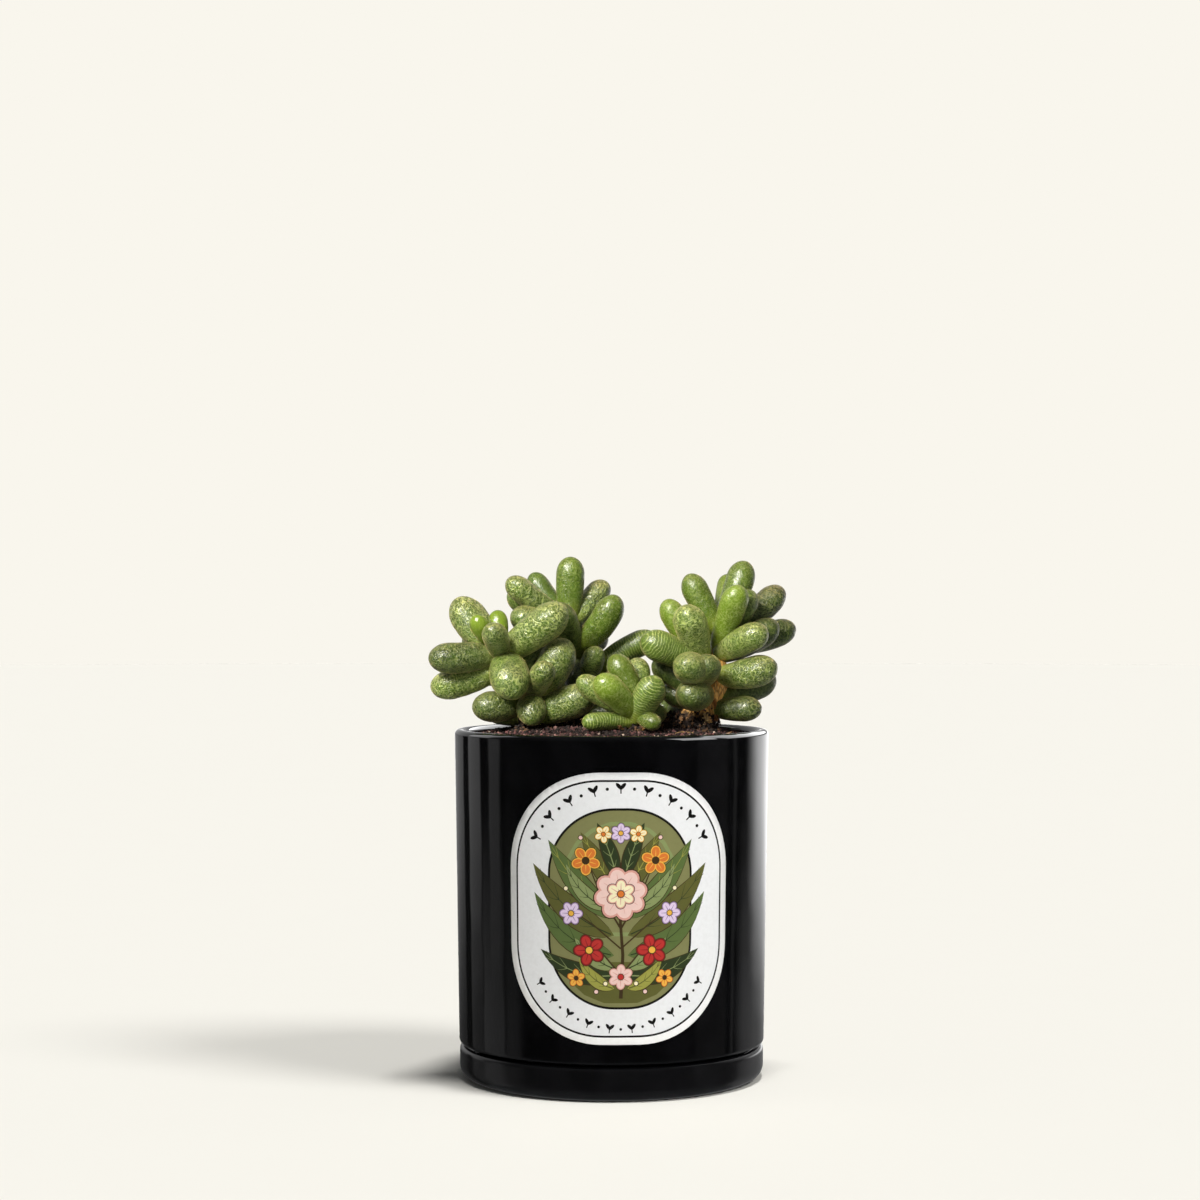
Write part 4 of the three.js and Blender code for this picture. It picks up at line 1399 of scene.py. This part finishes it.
def make_surround():
    """A dark ring with soft panels and a pale upper back, which only reflections see."""
    # One column a degree, and closer rows up to the height where the panels end
    heights = np.concatenate([np.linspace(-1100, 160, 43), np.linspace(190, 1500, 24)])
    points = around([SURROUND_RADIUS] * len(heights), heights, 360, -math.pi / 2)
    azimuth = np.tile(np.arange(360.0), len(heights))
    level = smoothstep(-250, 10, points[:, 2])
    glow = np.full(len(points), 0.02)
    for start, end, soft, top, foot in MIRRORED:
        for turn in (-360, 0, 360):
            inside = smoothstep(start, start + soft, azimuth + turn)
            inside = inside * (1 - smoothstep(end - soft, end, azimuth + turn))
            glow = np.maximum(glow, inside * (foot + (top - foot) * level))
    behind = smoothstep(85, 130, abs((azimuth + 180) % 360 - 180))
    above = smoothstep(120, 190, points[:, 2])
    glow = glow * (1 - above) + above * (0.06 + 0.44 * behind)
    faces = grid_faces(len(heights), 360)
    ring = make_mesh("surround", points, faces, [emitter("surround_light", (1, 1, 1, 1), True)],
                     values={"glow": glow})
    only_seen_by(ring, glossy=True)


def direction(azimuth, elevation):
    """A unit vector towards a light: azimuth from the front, right positive."""
    a, e = math.radians(azimuth), math.radians(elevation)
    return Vector((math.sin(a) * math.cos(e), -math.cos(a) * math.cos(e), math.sin(e)))


def add_light(name, kind, azimuth, elevation, energy, tone, receivers, glossy, **settings):
    """A lamp that faces the plant from a distance in metres and lights only its receivers."""
    data = bpy.data.lights.new(name, kind)
    data.energy = energy
    data.color = tone
    distance = settings.pop("distance", 2.0)
    for key, value in settings.items():
        setattr(data, key, value)
    lamp = placed(name, data)
    away = direction(azimuth, elevation)
    lamp.location = Vector((0, 0, LIGHT_AIM)) + away * distance
    lamp.rotation_mode = "QUATERNION"
    lamp.rotation_quaternion = away.to_track_quat("Z", "Y")
    lamp.visible_camera = False
    lamp.visible_glossy = glossy
    lamp.light_linking.receiver_collection = receivers
    return lamp


def make_lights(floor):
    """Lamps for the floor, the plant, the label and the pot's rim, and a faint sky."""
    floors = bpy.data.collections.new("floor_only")
    floors.objects.link(floor)
    rims = bpy.data.collections.new("rim_only")
    rims.objects.link(bpy.data.objects["glazed_pot"])
    white = (1.0, 1.0, 1.0)
    warm = (1.0, 0.965, 0.9)
    add_light("floor_top", "SUN", 35, 84, 2.222, white, floors, False, angle=math.radians(10))
    add_light("floor_side", "SUN", 60, 46, 1.482, white, floors, False, angle=math.radians(20))
    add_light("plant_key", "AREA", -31, 35, 20.5, warm, plant_pieces, True,
              distance=0.9, shape="DISK", size=0.36)
    add_light("plant_fill", "AREA", 30, 10, 1.2, white, plant_pieces, False,
              distance=1.1, shape="DISK", size=0.7)
    add_light("plant_top", "SUN", 140, 72, 0.9, white, plant_pieces, False, angle=math.radians(60))
    add_light("label_key", "AREA", 32, 16, 7.2, white, pot_pieces, False,
              distance=1.1, shape="DISK", size=0.7)
    for name, azimuth, elevation, energy, width, height in (
            ("glint", 66, 26, 10.0, 0.6, 0.75),
            ("rim_right", 127, 31, 23.0, 1.6, 0.9),
            ("rim_left", -114, 29, 2.4, 0.55, 0.85)):
        lamp = add_light(name, "AREA", azimuth, elevation, energy, white, rims, True,
                         distance=1.1, shape="RECTANGLE", size=width, size_y=height)
        lamp.visible_diffuse = False
    world = bpy.data.worlds.new("studio")
    world.use_nodes = True
    backdrop = world.node_tree.nodes["Background"]
    backdrop.inputs["Color"].default_value = (0.93, 0.97, 1.0, 1.0)
    backdrop.inputs["Strength"].default_value = 0.12
    bpy.context.scene.world = world


def make_camera():
    """A level camera in front, a little above the rim."""
    data = bpy.data.cameras.new("camera")
    data.sensor_width = 36
    data.lens = CAMERA_LENS
    data.clip_start = 0.01
    data.clip_end = 20
    camera = placed("camera", data)
    camera.location = CAMERA_PLACE
    camera.rotation_euler = (math.pi / 2, 0, 0)
    bpy.context.scene.camera = camera


make_camera()
bpy.context.scene.view_settings.view_transform = "Standard"
make_pot()
make_saucer()
make_label()
make_stems(leaf_skin(), bark())
make_soil()
make_grit(crumbs("soil_grit", linear(22, 15, 13), linear(168, 132, 120)))
make_litter(crumbs("dry_litter_stuff", linear(52, 34, 20), linear(214, 190, 140), 0.8))
make_backdrop()
make_surround()
make_lights(make_floor())
